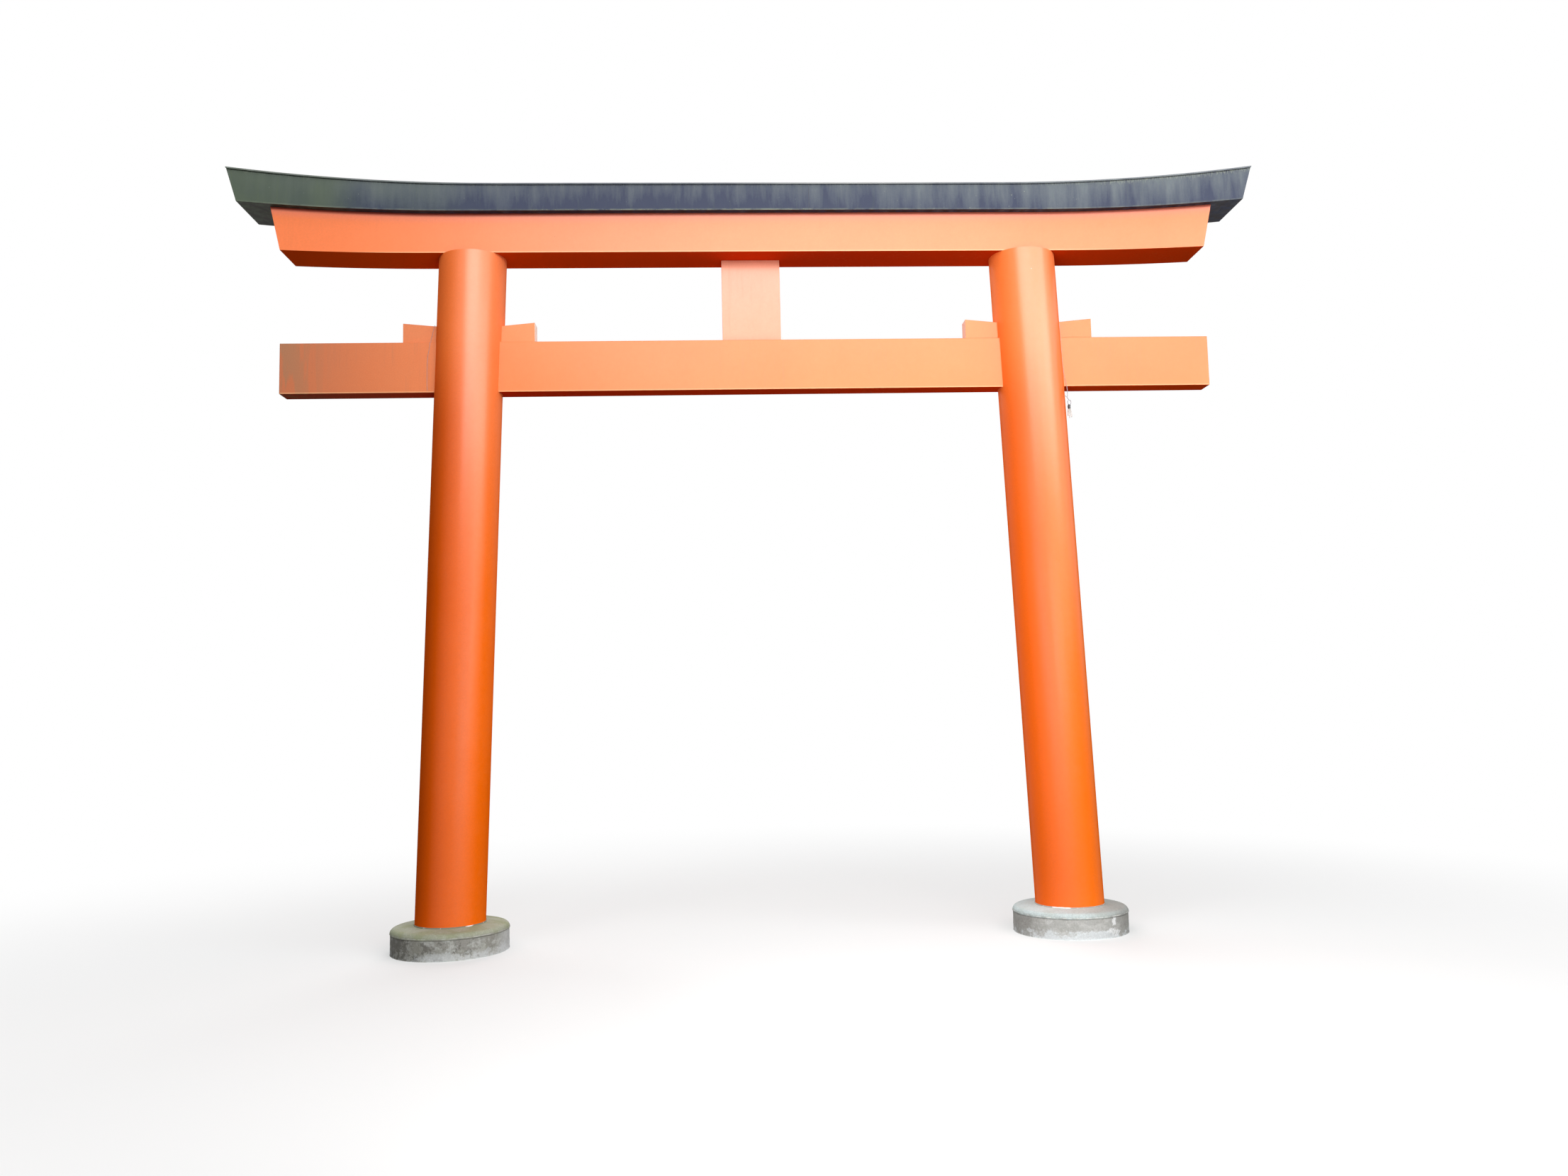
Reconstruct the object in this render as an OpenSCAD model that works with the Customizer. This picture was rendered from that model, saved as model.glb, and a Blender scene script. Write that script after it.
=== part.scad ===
// Torii gate: two leaning round pillars on round bases, a wedged tie beam that runs through
// both, a centre strut, a lower lintel, and an upswept top lintel clad in sheet metal.
// X runs along the gate, Y through it with the front at -Y, and Z up from the ground.

/* [Pillars] */
// Diameter of each pillar
pillar_d = 700; // [600:10:800]
// Distance between the pillars' centres at the top of the bases
pillar_span = 6350; // [5800:50:6900]
// Lean of each pillar towards the middle, in degrees
pillar_lean = 1.87; // [1:0.01:2.6]
// Height from the top of the bases to the underside of the lower lintel
pillar_h = 6893; // [6700:1:7400]
// How far a pillar's foot goes down into its base
foot_depth = 150; // [90:5:220]
// Clearance round a pillar's foot, closed by the mortar bead
foot_gap = 2; // [1:0.5:5]

/* [Bases] */
// Diameter of the rounded shoulder
shoulder_d = 1180; // [1080:10:1300]
// Height of the shoulder, from the drum to the pillar's foot
shoulder_h = 73; // [65:1:100]
// Radius of the shoulder's rounded rim
rim_r = 55; // [30:1:60]
// Height of the drum under the shoulder
drum_h = 202; // [150:1:300]
// How far the shoulder stands proud of the drum
shoulder_lap = 4; // [1:1:12]
// Width of the mortar bead round a pillar's foot
bead_w = 14; // [6:1:24]
// Height of the mortar bead against the pillar
bead_h = 10; // [5:1:20]
// Height of the mortar bead at half its width
bead_mid_h = 3; // [1:1:5]

/* [Tie beam and wedges] */
// How far the tie beam reaches past the pillars' centres
tie_reach = 1930; // [1500:10:2200]
// Height of the tie beam
tie_h = 537; // [440:1:600]
// Thickness of the tie beam
tie_t = 230; // [190:5:280]
// Height from the top of the bases to the underside of the tie beam
tie_z = 5438; // [5100:1:5600]
// Side clearance of the tie beam and wedges in the pillars' mortises
mortise_gap = 1; // [0.5:0.5:4]
// Length of a wedge, from the pillar's centre to its outer end
wedge_len = 685; // [560:5:800]
// Height of a wedge at its outer end
wedge_h = 212; // [180:1:260]
// Thickness of a wedge
wedge_t = 170; // [120:5:185]
// Slope of a wedge's top, down towards the pillar, in degrees
wedge_slope = 5.4; // [2:0.1:8]
// Clearance between the noses of the two wedges inside a pillar
wedge_nose_gap = 12; // [4:1:40]
// Clearance over a wedge in its mortise
wedge_top_gap = 0.3; // [0.1:0.1:1]

/* [Strut] */
// Width of the centre strut
strut_w = 625; // [450:5:800]
// Thickness of the strut
strut_t = 90; // [50:5:95]
// Distance from the gate's centre plane back to the strut's front face
strut_setback = 20; // [0:1:24]

/* [Lower lintel] */
// How far the lower lintel's underside reaches past the pillars' centres
low_reach = 1930; // [1500:10:2200]
// Depth of the lower lintel, front to back
low_depth = 478; // [420:2:560]
// Height of the lower lintel at the middle
low_h = 424; // [360:1:480]
// Rake of the lower lintel's ends, in degrees
low_rake = 12.5; // [6:0.1:18]
// How far past the pillars' outer sides its underside stays level
low_level = 10; // [0:5:300]
// Radius of the rise in its underside
low_r = 33000; // [24000:500:60000]

/* [Top lintel] */
// How far the top lintel's ends reach past the lower lintel's, at the soffit
end_overhang = 307; // [240:1:380]
// How far the top lintel overhangs the lower lintel, front and back
cap_overhang = 75; // [50:1:110]
// Height of the top lintel at the middle, from the soffit to the roof sheets' edge
cap_h = 293; // [220:1:360]
// Rake of the top lintel's ends, in degrees
cap_rake = 16.7; // [8:0.1:22]
// How far past the pillars' centres the soffit stays level
soffit_level = 70; // [0:10:400]
// Radius of the rise in the soffit
soffit_r = 24000; // [20000:500:36000]
// How far inside the pillars' centres the roof line starts to rise
roof_lead = 280; // [0:10:500]
// Radius of the rise in the roof line
roof_r = 21000; // [18000:500:24000]
// Slope of the two sides of the roof, in degrees
roof_slope = 15; // [8:0.5:20]

/* [Cladding] */
// Thickness of the cladding sheets
sheet_t = 3; // [2:0.5:5]
// Clearance between the core and the cladding
clad_gap = 0.2; // [0.1:0.1:1]
// How far the roof sheets reach past the fascia
lip_out = 20; // [10:1:40]
// Height of the turned-down edge of a roof sheet
lip_h = 15; // [8:1:24]
// Height of the hem folded up along the fascia's lower edge
hem_h = 13; // [6:1:24]
// How far the hem stops short of the lap joint
hem_stop = 68; // [20:1:90]
// Distance from the middle to the lap joint between the two fascia sheets
joint_x = 623; // [0:1:2000]
// Width of the joint between the two fascia sheets
joint_gap = 1; // [0.5:0.5:4]
// Width of the ridge cap
ridge_w = 120; // [80:5:200]

/* [Hidden] */

vermilion = [0.93, 0.34, 0.13];
slate = [0.30, 0.33, 0.38];
concrete = [0.62, 0.61, 0.57];
mortar = [0.88, 0.88, 0.86];
primer = [0.55, 0.42, 0.30];

left = -1;
right = 1;
front = -1;
back = 1;
inner = -1;
outer = 1;

round_fn = 96;
sweep_steps = 12;

// How far a cutting solid reaches past what it cuts
past = 100;
// Clearance between the mortar bead and the pillar
bead_gap = 0.01;

base_top = drum_h + shoulder_h;
foot_z = base_top - foot_depth;
tie_bottom = base_top + tie_z;
tie_top = tie_bottom + tie_h;
lintel_z = base_top + pillar_h;
soffit_z = lintel_z + low_h;
roof_z = soffit_z + cap_h;

base_x = pillar_span / 2;
pillar_r = pillar_d / 2;
rim_x = shoulder_d / 2 - rim_r;
wedge_x = axis_x(tie_top + wedge_h / 2);
tie_end = axis_x(tie_bottom + tie_h / 2) + tie_reach;
pillar_top_x = axis_x(lintel_z);

// Ends of the lintels, at the level of the underside of each
low_end = pillar_top_x + low_reach;
cap_end = low_end + low_h * tan(low_rake) + end_overhang;

// Where each line of the lintels starts to rise
low_flat = pillar_top_x + pillar_r + low_level;
soffit_flat = pillar_top_x + soffit_level;
roof_flat = pillar_top_x - roof_lead;

// Half depths of the lower lintel and of the layers of the top lintel
low_half = low_depth / 2;
cap_half = low_half + cap_overhang;
skin_half = cap_half - sheet_t;
core_half = skin_half - clad_gap;
eave_half = cap_half + lip_out;
core_z = soffit_z + sheet_t + clad_gap;

// Size of the outlines before their ends are cut
reach = cap_end + cap_h + past;
tall = 3 * cap_h;

// Distance from the middle to a pillar's centre at height z
function axis_x(z) = pillar_span / 2 - (z - base_top) * tan(pillar_lean);

// Puts what is drawn for the right-hand side on either side
module on(side) {
    mirror([side == left ? 1 : 0, 0, 0]) children();
}

// Puts what is drawn for the front on either face
module facing(side) {
    mirror([0, side == back ? 1 : 0, 0]) children();
}

// Stands an outline up in the XZ plane, from y0 back to y1
module through(y0, y1) {
    translate([0, y1, 0]) rotate([90, 0, 0]) linear_extrude(y1 - y0) children();
}

// Height gained at x by a line that is level out to "flat" and then rises on an arc
function rise(x, flat, r) = let (d = max(abs(x) - flat, 0)) r - sqrt(r * r - d * d);

// The outline above such an upswept line
module above(z, flat, r) {
    step = (reach - flat) / sweep_steps;
    right_x = [for (i = [0 : sweep_steps]) flat + i * step];
    left_x = [for (i = [0 : sweep_steps]) i * step - reach];
    polygon(concat([for (x = concat(left_x, right_x)) [x, z + rise(x, flat, r)]],
                   [[reach, z + tall], [-reach, z + tall]]));
}

// The outline between two raked ends, "out" from the middle at height z
module raked(out, z, rake) {
    down = z - lintel_z + past;
    polygon([[-out + down * tan(rake), z - down], [out - down * tan(rake), z - down],
             [out + tall * tan(rake), z + tall], [-out - tall * tan(rake), z + tall]]);
}

module low_ends() {
    raked(low_end, lintel_z, low_rake);
}

module cap_ends(inset = 0) {
    raked(cap_end - inset, soffit_z, cap_rake);
}

// A leaning round bar for the right-hand side, cut level at z0 and z1
module leaning_bar(d, z0, z1) {
    lead = past + d;
    intersection() {
        translate([axis_x(z0), 0, z0]) rotate([0, -pillar_lean, 0]) translate([0, 0, -lead])
            cylinder(h = z1 - z0 + 2 * lead, d = d, $fn = round_fn);
        translate([0, -d, z0]) cube([pillar_span, 2 * d, z1 - z0]);
    }
}

module foot_socket() {
    leaning_bar(pillar_d + 2 * foot_gap, foot_z, base_top + past);
}

module base_drum() {
    color(concrete) difference() {
        translate([base_x, 0, 0])
            cylinder(h = drum_h, d = shoulder_d - 2 * shoulder_lap, $fn = round_fn);
        foot_socket();
    }
}

module base_shoulder() {
    color(concrete) difference() {
        translate([base_x, 0, drum_h]) rotate_extrude($fn = round_fn) {
            intersection() {
                translate([rim_x, 0]) circle(r = rim_r, $fn = round_fn);
                translate([rim_x, 0]) square(rim_r);
            }
            polygon([[0, 0], [rim_x, 0], [rim_x, rim_r], [pillar_r, shoulder_h],
                     [0, shoulder_h]]);
        }
        foot_socket();
    }
}

// The bead lies on the shoulder's slope, against the pillar
module foot_mortar() {
    fall = (shoulder_h - rim_r) / (rim_x - pillar_r);
    color(mortar) difference() {
        translate([base_x, 0, base_top]) rotate_extrude($fn = round_fn)
            polygon([[pillar_r - foot_gap, 0], [pillar_r, 0],
                     [pillar_r + bead_w, -bead_w * fall], [pillar_r + bead_w / 2, bead_mid_h],
                     [pillar_r + foot_gap, bead_h], [pillar_r - foot_gap, bead_h]]);
        leaning_bar(pillar_d + 2 * bead_gap, foot_z, base_top + past);
    }
}

// One wedge seen from the front, from its nose inside the pillar to its outer end
module wedge_outline(nose, lift = 0) {
    nose_h = wedge_h - (wedge_len - nose) * tan(wedge_slope);
    polygon([[nose, 0], [wedge_len, 0], [wedge_len, wedge_h + lift], [nose, nose_h + lift]]);
}

// Puts what is drawn from a pillar's centre outwards on its outer or inner side
module at_pillar(way) {
    translate([wedge_x, 0, tie_top]) mirror([way == inner ? 1 : 0, 0, 0]) children();
}

module wedge(way) {
    color(vermilion) at_pillar(way) through(-wedge_t / 2, wedge_t / 2)
        wedge_outline(wedge_nose_gap / 2);
}

// The hole through a pillar for the tie beam and the two wedges on it
module mortise() {
    tie_hole = tie_t + 2 * mortise_gap;
    wedge_hole = wedge_t + 2 * mortise_gap;
    translate([wedge_x - wedge_len, -tie_hole / 2, tie_bottom])
        cube([2 * wedge_len, tie_hole, tie_h]);
    for (way = [inner, outer])
        at_pillar(way) through(-wedge_hole / 2, wedge_hole / 2) wedge_outline(0, wedge_top_gap);
}

module pillar() {
    color(vermilion) difference() {
        leaning_bar(pillar_d, foot_z, lintel_z);
        mortise();
    }
}

module tie_beam() {
    color(vermilion) translate([-tie_end, -tie_t / 2, tie_bottom])
        cube([2 * tie_end, tie_t, tie_h]);
}

module centre_strut() {
    color(vermilion) translate([-strut_w / 2, strut_setback, tie_top])
        cube([strut_w, strut_t, lintel_z - tie_top]);
}

module lower_lintel() {
    color(vermilion) through(-low_half, low_half) intersection() {
        difference() {
            above(lintel_z, low_flat, low_r);
            above(core_z, soffit_flat, soffit_r);
        }
        low_ends();
    }
}

// Stands an outline on the front slope of the roof. Its z is measured from the slope, and its
// arcs are flattened so that the roof line's rise comes out true on the upright fascia.
module on_slope() {
    translate([0, -cap_half, roof_z]) rotate([roof_slope, 0, 0])
        through(-cap_half, 2 * cap_half) children();
}

module above_slope(z) {
    above(z, roof_flat, roof_r / cos(roof_slope));
}

// A sheet on the front slope, "lift" above it, from the ridge out to "half"
module slope_sheet(lift, half) {
    intersection() {
        on_slope() difference() {
            above_slope(lift);
            above_slope(lift + sheet_t);
        }
        through(-half, 0) cap_ends();
    }
}

// What lies above "bottom" and below both slopes of the roof, out to "half" front and back
module under_roof(half, bottom = soffit_z, gap = 0) {
    for (side = [front, back]) facing(side) intersection() {
        on_slope() difference() {
            translate([-reach, -tall]) square([2 * reach, 2 * tall]);
            above_slope(-gap);
        }
        through(-half, 0) above(bottom, soffit_flat, soffit_r);
    }
}

// A level layer of the soffit, one sheet thick
module soffit_layer() {
    intersection() {
        difference() {
            above(soffit_z, soffit_flat, soffit_r);
            above(soffit_z + sheet_t, soffit_flat, soffit_r);
        }
        cap_ends(sheet_t);
    }
}

// The soffit along the front of the lower lintel
module long_soffit() {
    color(slate) through(-skin_half, -low_half) soffit_layer();
}

// The soffit beyond the right end of the lower lintel
module end_soffit() {
    color(slate) through(-low_half, low_half) intersection() {
        difference() {
            soffit_layer();
            low_ends();
        }
        square([reach, soffit_z + tall]);
    }
}

// A length of the core, on the lower lintel and inside the cladding
module core(x0, x1) {
    color(primer) intersection() {
        under_roof(core_half, core_z, clad_gap);
        through(-core_half, core_half) intersection() {
            cap_ends(sheet_t + clad_gap);
            translate([x0, 0]) square([x1 - x0, soffit_z + tall]);
        }
    }
}

// A fascia sheet for the front, with a hem folded up along its lower edge
module fascia(x0, x1, hem_x1) {
    color(slate) {
        intersection() {
            under_roof(cap_half);
            through(-cap_half, -skin_half) intersection() {
                cap_ends();
                translate([x0, 0]) square([x1 - x0, soffit_z + tall]);
            }
        }
        through(-cap_half - sheet_t, -cap_half) intersection() {
            difference() {
                above(soffit_z, soffit_flat, soffit_r);
                above(soffit_z + hem_h, soffit_flat, soffit_r);
            }
            cap_ends();
            translate([x0, 0]) square([hem_x1 - x0, soffit_z + tall]);
        }
    }
}

// The longer fascia sheet, whose hem stops short of the lap joint
module long_fascia() {
    edge = joint_x - joint_gap / 2;
    fascia(-reach, edge, edge - hem_stop);
}

module short_fascia() {
    fascia(joint_x + joint_gap / 2, reach, reach);
}

module end_plate() {
    color(slate) intersection() {
        under_roof(skin_half);
        through(-skin_half, skin_half) intersection() {
            difference() {
                cap_ends();
                cap_ends(sheet_t);
            }
            square([reach, soffit_z + tall]);
        }
    }
}

// A roof sheet for the front, with its edge turned down clear of the fascia
module roof_sheet() {
    eave_z = roof_z - lip_out * tan(roof_slope) + sheet_t / 2;
    color(slate) {
        slope_sheet(0, eave_half);
        through(-eave_half, -eave_half + sheet_t) intersection() {
            difference() {
                above(eave_z + sheet_t / 2 - lip_h, roof_flat, roof_r);
                above(eave_z, roof_flat, roof_r);
            }
            cap_ends();
        }
    }
}

module ridge_cap() {
    color(slate) for (side = [front, back])
        facing(side) slope_sheet(sheet_t, ridge_w / 2);
}

on(left) base_drum();  // left_base_drum
on(right) base_drum();  // right_base_drum
on(left) base_shoulder();  // left_base_shoulder
on(right) base_shoulder();  // right_base_shoulder
on(left) foot_mortar();  // left_foot_mortar
on(right) foot_mortar();  // right_foot_mortar
on(left) pillar();  // left_pillar
on(right) pillar();  // right_pillar
tie_beam();
on(left) wedge(outer);  // left_outer_wedge
on(left) wedge(inner);  // left_inner_wedge
on(right) wedge(inner);  // right_inner_wedge
on(right) wedge(outer);  // right_outer_wedge
centre_strut();
lower_lintel();
core(-reach, -pillar_top_x);  // top_lintel_core_left
core(-pillar_top_x, pillar_top_x);  // top_lintel_core_middle
core(pillar_top_x, reach);  // top_lintel_core_right
long_fascia();  // front_fascia_left
short_fascia();  // front_fascia_right
rotate(180) short_fascia();  // back_fascia_left
rotate(180) long_fascia();  // back_fascia_right
on(left) end_plate();  // left_end_plate
on(right) end_plate();  // right_end_plate
facing(front) long_soffit();  // front_soffit
facing(back) long_soffit();  // back_soffit
on(left) end_soffit();  // left_soffit
on(right) end_soffit();  // right_soffit
facing(front) roof_sheet();  // front_roof_sheet
facing(back) roof_sheet();  // back_roof_sheet
ridge_cap();
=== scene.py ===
"""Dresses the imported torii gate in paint, sheet metal, concrete, mortar, caulk, moss and wire.

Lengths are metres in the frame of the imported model: X runs along the gate, the front faces -Y,
and Z goes up from the ground. Every piece sits at the origin with its place in its mesh.
"""

import logging
import math
from collections.abc import Sequence
from dataclasses import dataclass
from enum import Enum
from functools import partialmethod
from typing import Any

import bmesh
import bpy
from mathutils import Matrix, Vector


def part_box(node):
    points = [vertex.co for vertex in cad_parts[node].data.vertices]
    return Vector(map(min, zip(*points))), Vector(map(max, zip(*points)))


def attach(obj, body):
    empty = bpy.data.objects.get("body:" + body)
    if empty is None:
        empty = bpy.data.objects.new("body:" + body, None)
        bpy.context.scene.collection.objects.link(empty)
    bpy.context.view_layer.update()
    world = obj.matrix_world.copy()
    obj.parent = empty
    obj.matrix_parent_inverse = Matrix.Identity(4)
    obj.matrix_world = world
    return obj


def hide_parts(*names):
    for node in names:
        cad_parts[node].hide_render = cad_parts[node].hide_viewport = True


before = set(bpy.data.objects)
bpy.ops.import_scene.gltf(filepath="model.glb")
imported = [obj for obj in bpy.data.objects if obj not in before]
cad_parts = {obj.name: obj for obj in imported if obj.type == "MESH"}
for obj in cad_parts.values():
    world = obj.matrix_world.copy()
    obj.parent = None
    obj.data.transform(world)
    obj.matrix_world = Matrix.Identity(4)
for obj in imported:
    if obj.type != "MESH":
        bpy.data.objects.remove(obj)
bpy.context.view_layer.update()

log = logging.getLogger("torii")

# An outline is in X and Z. A span is where a change starts and ends along X, and its share.
Colour = tuple[float, float, float]
Point = tuple[float, float, float]
Outline = Sequence[tuple[float, float]]
Spans = Sequence[tuple[float, float, float]]
Number = Any
Piece = bpy.types.Object
Material = bpy.types.Material

# The front-left direction below is the pillars' shaded side, where their paint carries painted
# shade.
# A wedge's top falls from its thick end at WEDGE_SLOPE.
UP = (0.0, 0.0, 1.0)
FRONT = (0.0, -1.0, 0.0)
LEFTWARD = (-1.0, 0.0, 0.0)
RIGHTWARD = (1.0, 0.0, 0.0)
SHADED_SIDE = (-0.94, -0.34, 0.0)
WHITE = (1.0, 1.0, 1.0)
DAYLIGHT = (1.0, 0.99, 0.98)
WEDGE_SLOPE = math.tan(math.radians(5.4))


# Node trees written in Python.


class Value:
    """An output in a node tree. Python's operators on it add Math nodes."""

    def __init__(self, graph: "Graph", socket: bpy.types.NodeSocket | None) -> None:
        """Wraps an output of a node in the tree."""
        self.graph, self.socket = graph, socket

    def out(self, key: str | int) -> "Value":
        """Another output of the same node."""
        return Value(self.graph, self.socket.node.outputs[key])

    def then(self, operation: str, *others: Number) -> "Value":
        """A Math node on this and others."""
        return self.graph.math(operation, self, *others)

    def after(self, operation: str, other: Number) -> "Value":
        """A Math node on another and this."""
        return self.graph.math(operation, other, self)

    __add__, __radd__ = partialmethod(then, "ADD"), partialmethod(after, "ADD")
    __sub__, __rsub__ = partialmethod(then, "SUBTRACT"), partialmethod(after, "SUBTRACT")
    __mul__, __rmul__ = partialmethod(then, "MULTIPLY"), partialmethod(after, "MULTIPLY")
    __truediv__, __rtruediv__ = partialmethod(then, "DIVIDE"), partialmethod(after, "DIVIDE")
    __abs__, at_least = partialmethod(then, "ABSOLUTE"), partialmethod(then, "MAXIMUM")

    def clamped(self) -> "Value":
        """The number held between 0 and 1."""
        return self.at_least(0.0).then("MINIMUM", 1.0)

    def between(self, start: float, end: float) -> "Value":
        """A smooth step: 0 up to start, 1 from end on. It falls where end is below start."""
        span = {"Value": self, "From Min": start, "From Max": end}
        return self.graph.node("ShaderNodeMapRange", span, interpolation_type="SMOOTHSTEP")

    def near(self, centre: float, reach: float) -> "Value":
        """1 at centre, falling smoothly to 0 at reach on either side."""
        return abs(self - centre).between(reach, 0.0)


class Graph:
    """A node tree with one method that makes any node."""

    def __init__(self, tree: bpy.types.NodeTree) -> None:
        """Wraps a shader or geometry tree."""
        self.tree = tree

    def node(self, kind: str, sockets: dict[Any, Any] | None = None, out: str | int = 0,
             **settings: Any) -> Value:
        """Makes a node, sets it up, then fills its sockets.

        Args:
            kind: the node's type.
            sockets: what its inputs take, by name or place: numbers, colours or Values.
            out: the output that is wanted.
            settings: its properties.

        Returns:
            The output, which is empty where the node has none.
        """
        made = self.tree.nodes.new(kind)
        for key, value in settings.items():
            setattr(made, key, value)
        for key, value in (sockets or {}).items():
            socket = made.inputs[key]
            if isinstance(value, Value):
                self.tree.links.new(value.socket, socket)
            else:
                socket.default_value = (*value, 1.0) if socket.type == "RGBA" else value
        return Value(self, made.outputs[out] if made.outputs else None)

    def math(self, operation: str, *values: Number) -> Value:
        """Adds one Math node."""
        return self.node("ShaderNodeMath", dict(enumerate(values)), operation=operation)

    def vector(self, operation: str, *values: Any, out: str = "Vector", **named: Any) -> Value:
        """Adds one Vector Math node."""
        sockets = dict(enumerate(values)) | named
        return self.node("ShaderNodeVectorMath", sockets, out, operation=operation)


class Shader(Graph):
    """A material whose patterns read the piece's Object coordinates, laid coat over coat."""

    def __init__(self, name: str, colour: Colour = WHITE) -> None:
        """Starts a material.

        Args:
            name: the material's name.
            colour: its first coat.
        """
        self.material = bpy.data.materials.new(name)
        self.material.use_nodes = True
        super().__init__(self.material.node_tree)
        self.tree.nodes.clear()
        self.colour: Any = colour
        self.place = self.node("ShaderNodeTexCoord", out="Object")
        self.x = self.node("ShaderNodeSeparateXYZ", {0: self.place})
        self.y, self.z = self.x.out(1), self.x.out(2)
        self.outward = self.node("ShaderNodeNewGeometry", out="Normal")

    def facing(self, direction: Point) -> Value:
        """How squarely the surface faces a direction, from -1 to 1."""
        return self.vector("DOT_PRODUCT", self.outward, direction, out="Value")

    def spread(self, size: float, stretch: Point, shift: float) -> Value:
        """The place in a pattern of a size, stretched along each axis and moved."""
        scale = tuple(1.0 / (size * s) for s in stretch)
        return self.vector("MULTIPLY_ADD", self.place, scale, (shift, shift, shift))

    def noise(self, size: float, detail: float = 2.0, roughness: float = 0.5,
              stretch: Point = (1, 1, 1), shift: float = 0.0) -> Value:
        """Cloudy noise from about 0.25 to 0.75.

        Args:
            size: the width of its clouds.
            detail: how many finer layers it has.
            roughness: how strong the finer layers are.
            stretch: how many times longer the clouds are along each axis.
            shift: moves the pattern, so that no two are alike.

        Returns:
            The noise.
        """
        return self.node("ShaderNodeTexNoise", {
            "Vector": self.spread(size, stretch, shift), "Scale": 1.0, "Detail": detail,
            "Roughness": roughness})

    def spots(self, spacing: float, radius: float, share: float, stretch: Point = (1, 1, 1),
              shift: float = 0.0) -> Value:
        """Scattered small spots: 1 inside a spot, 0 outside.

        Args:
            spacing: the distance from one possible spot to the next.
            radius: the largest spot's radius.
            share: the share of the places that have a spot.
            stretch: how many times longer the spots are along each axis.
            shift: moves the pattern.

        Returns:
            The mask.
        """
        away = self.node("ShaderNodeTexVoronoi", {
            "Vector": self.spread(spacing, stretch, shift), "Scale": 1.0}, "Distance")
        lot = self.node("ShaderNodeSeparateColor", {0: away.out("Color")})
        size = (lot / share).between(1.0, 0.0) * (radius / spacing)
        return (size - away).between(0.0, 0.3 * radius / spacing)

    def cover(self, share: Number, colour: Colour) -> None:
        """Lays a coat over the colour so far, as thick as share."""
        sockets = {0: share, 6: self.colour, 7: colour}
        self.colour = self.node("ShaderNodeMix", sockets, 2, data_type="RGBA")

    def shade(self, amount: Number) -> None:
        """Makes the colour so far lighter or darker by a factor."""
        self.colour = self.vector("SCALE", self.colour, Scale=amount)

    def relief(self, height: Value, depth: float, **under: Value) -> Value:
        """A bump of a height pattern and its depth, on the Normal under it if one is given."""
        return self.node("ShaderNodeBump", {"Strength": 1.0, "Distance": depth,
                                            "Height": height, **under})

    def surface(self, **sockets: Any) -> Material:
        """Ends the material in a Principled shader.

        Args:
            sockets: its inputs but the colour, with underscores for spaces in their names.

        Returns:
            The finished material.
        """
        named = {key.replace("_", " "): value for key, value in sockets.items()}
        shader = self.node("ShaderNodeBsdfPrincipled", {"Base Color": self.colour} | named)
        self.node("ShaderNodeOutputMaterial", {"Surface": shader})
        return self.material


class Recipe(Graph):
    """A Geometry Nodes tree with named sizes, applied to a piece and turned into plain mesh."""

    def __init__(self, name: str) -> None:
        """Starts a tree.

        Args:
            name: the tree's name.
        """
        super().__init__(bpy.data.node_groups.new(name, "GeometryNodeTree"))
        self.keys: dict[str, str] = {}
        for way in ("INPUT", "OUTPUT"):
            self.tree.interface.new_socket("Geometry", in_out=way,
                                           socket_type="NodeSocketGeometry")
        self.geometry = self.node("NodeGroupInput")
        self.finish = self.size("Finish", "Material")

    def size(self, name: str, kind: str = "Float") -> Value:
        """Adds a named input.

        Args:
            name: the input's name.
            kind: its type: Float, Int or Material.

        Returns:
            The input, for use in the tree.
        """
        item = self.tree.interface.new_socket(name, in_out="INPUT",
                                              socket_type="NodeSocket" + kind)
        self.keys[name] = item.identifier
        return self.geometry.out(name)

    def noise(self, size: Number, seed: Value) -> Value:
        """Noise over the points' places in clouds of a size, from about -1 to 1."""
        sockets = {"W": seed * 7.3, "Scale": 1.0 / size, "Detail": 3.0}
        return (self.node("ShaderNodeTexNoise", sockets, noise_dimensions="4D") - 0.5) * 4.0

    def end(self, geometry: Value) -> "Recipe":
        """Realizes what is there, gives it its finish and ends the tree.

        Args:
            geometry: what the tree has made.

        Returns:
            The finished tree.
        """
        real = self.node("GeometryNodeRealizeInstances", {0: geometry})
        dressed = self.node("GeometryNodeSetMaterial", {"Geometry": real,
                                                        "Material": self.finish})
        self.node("NodeGroupOutput", {0: dressed})
        return self

    def apply(self, piece: Piece, finish: Material, **sizes: float) -> None:
        """Runs the tree on a piece and leaves plain mesh.

        Args:
            piece: the piece, whose mesh the tree starts from.
            finish: the material that the result gets.
            sizes: the named inputs, with underscores for the spaces in their names.
        """
        modifier = piece.modifiers.new(self.tree.name, "NODES")
        modifier.node_group = self.tree
        for name, value in {"Finish": finish, **sizes}.items():
            modifier[self.keys[name.replace("_", " ")]] = value
        settle(piece)


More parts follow.
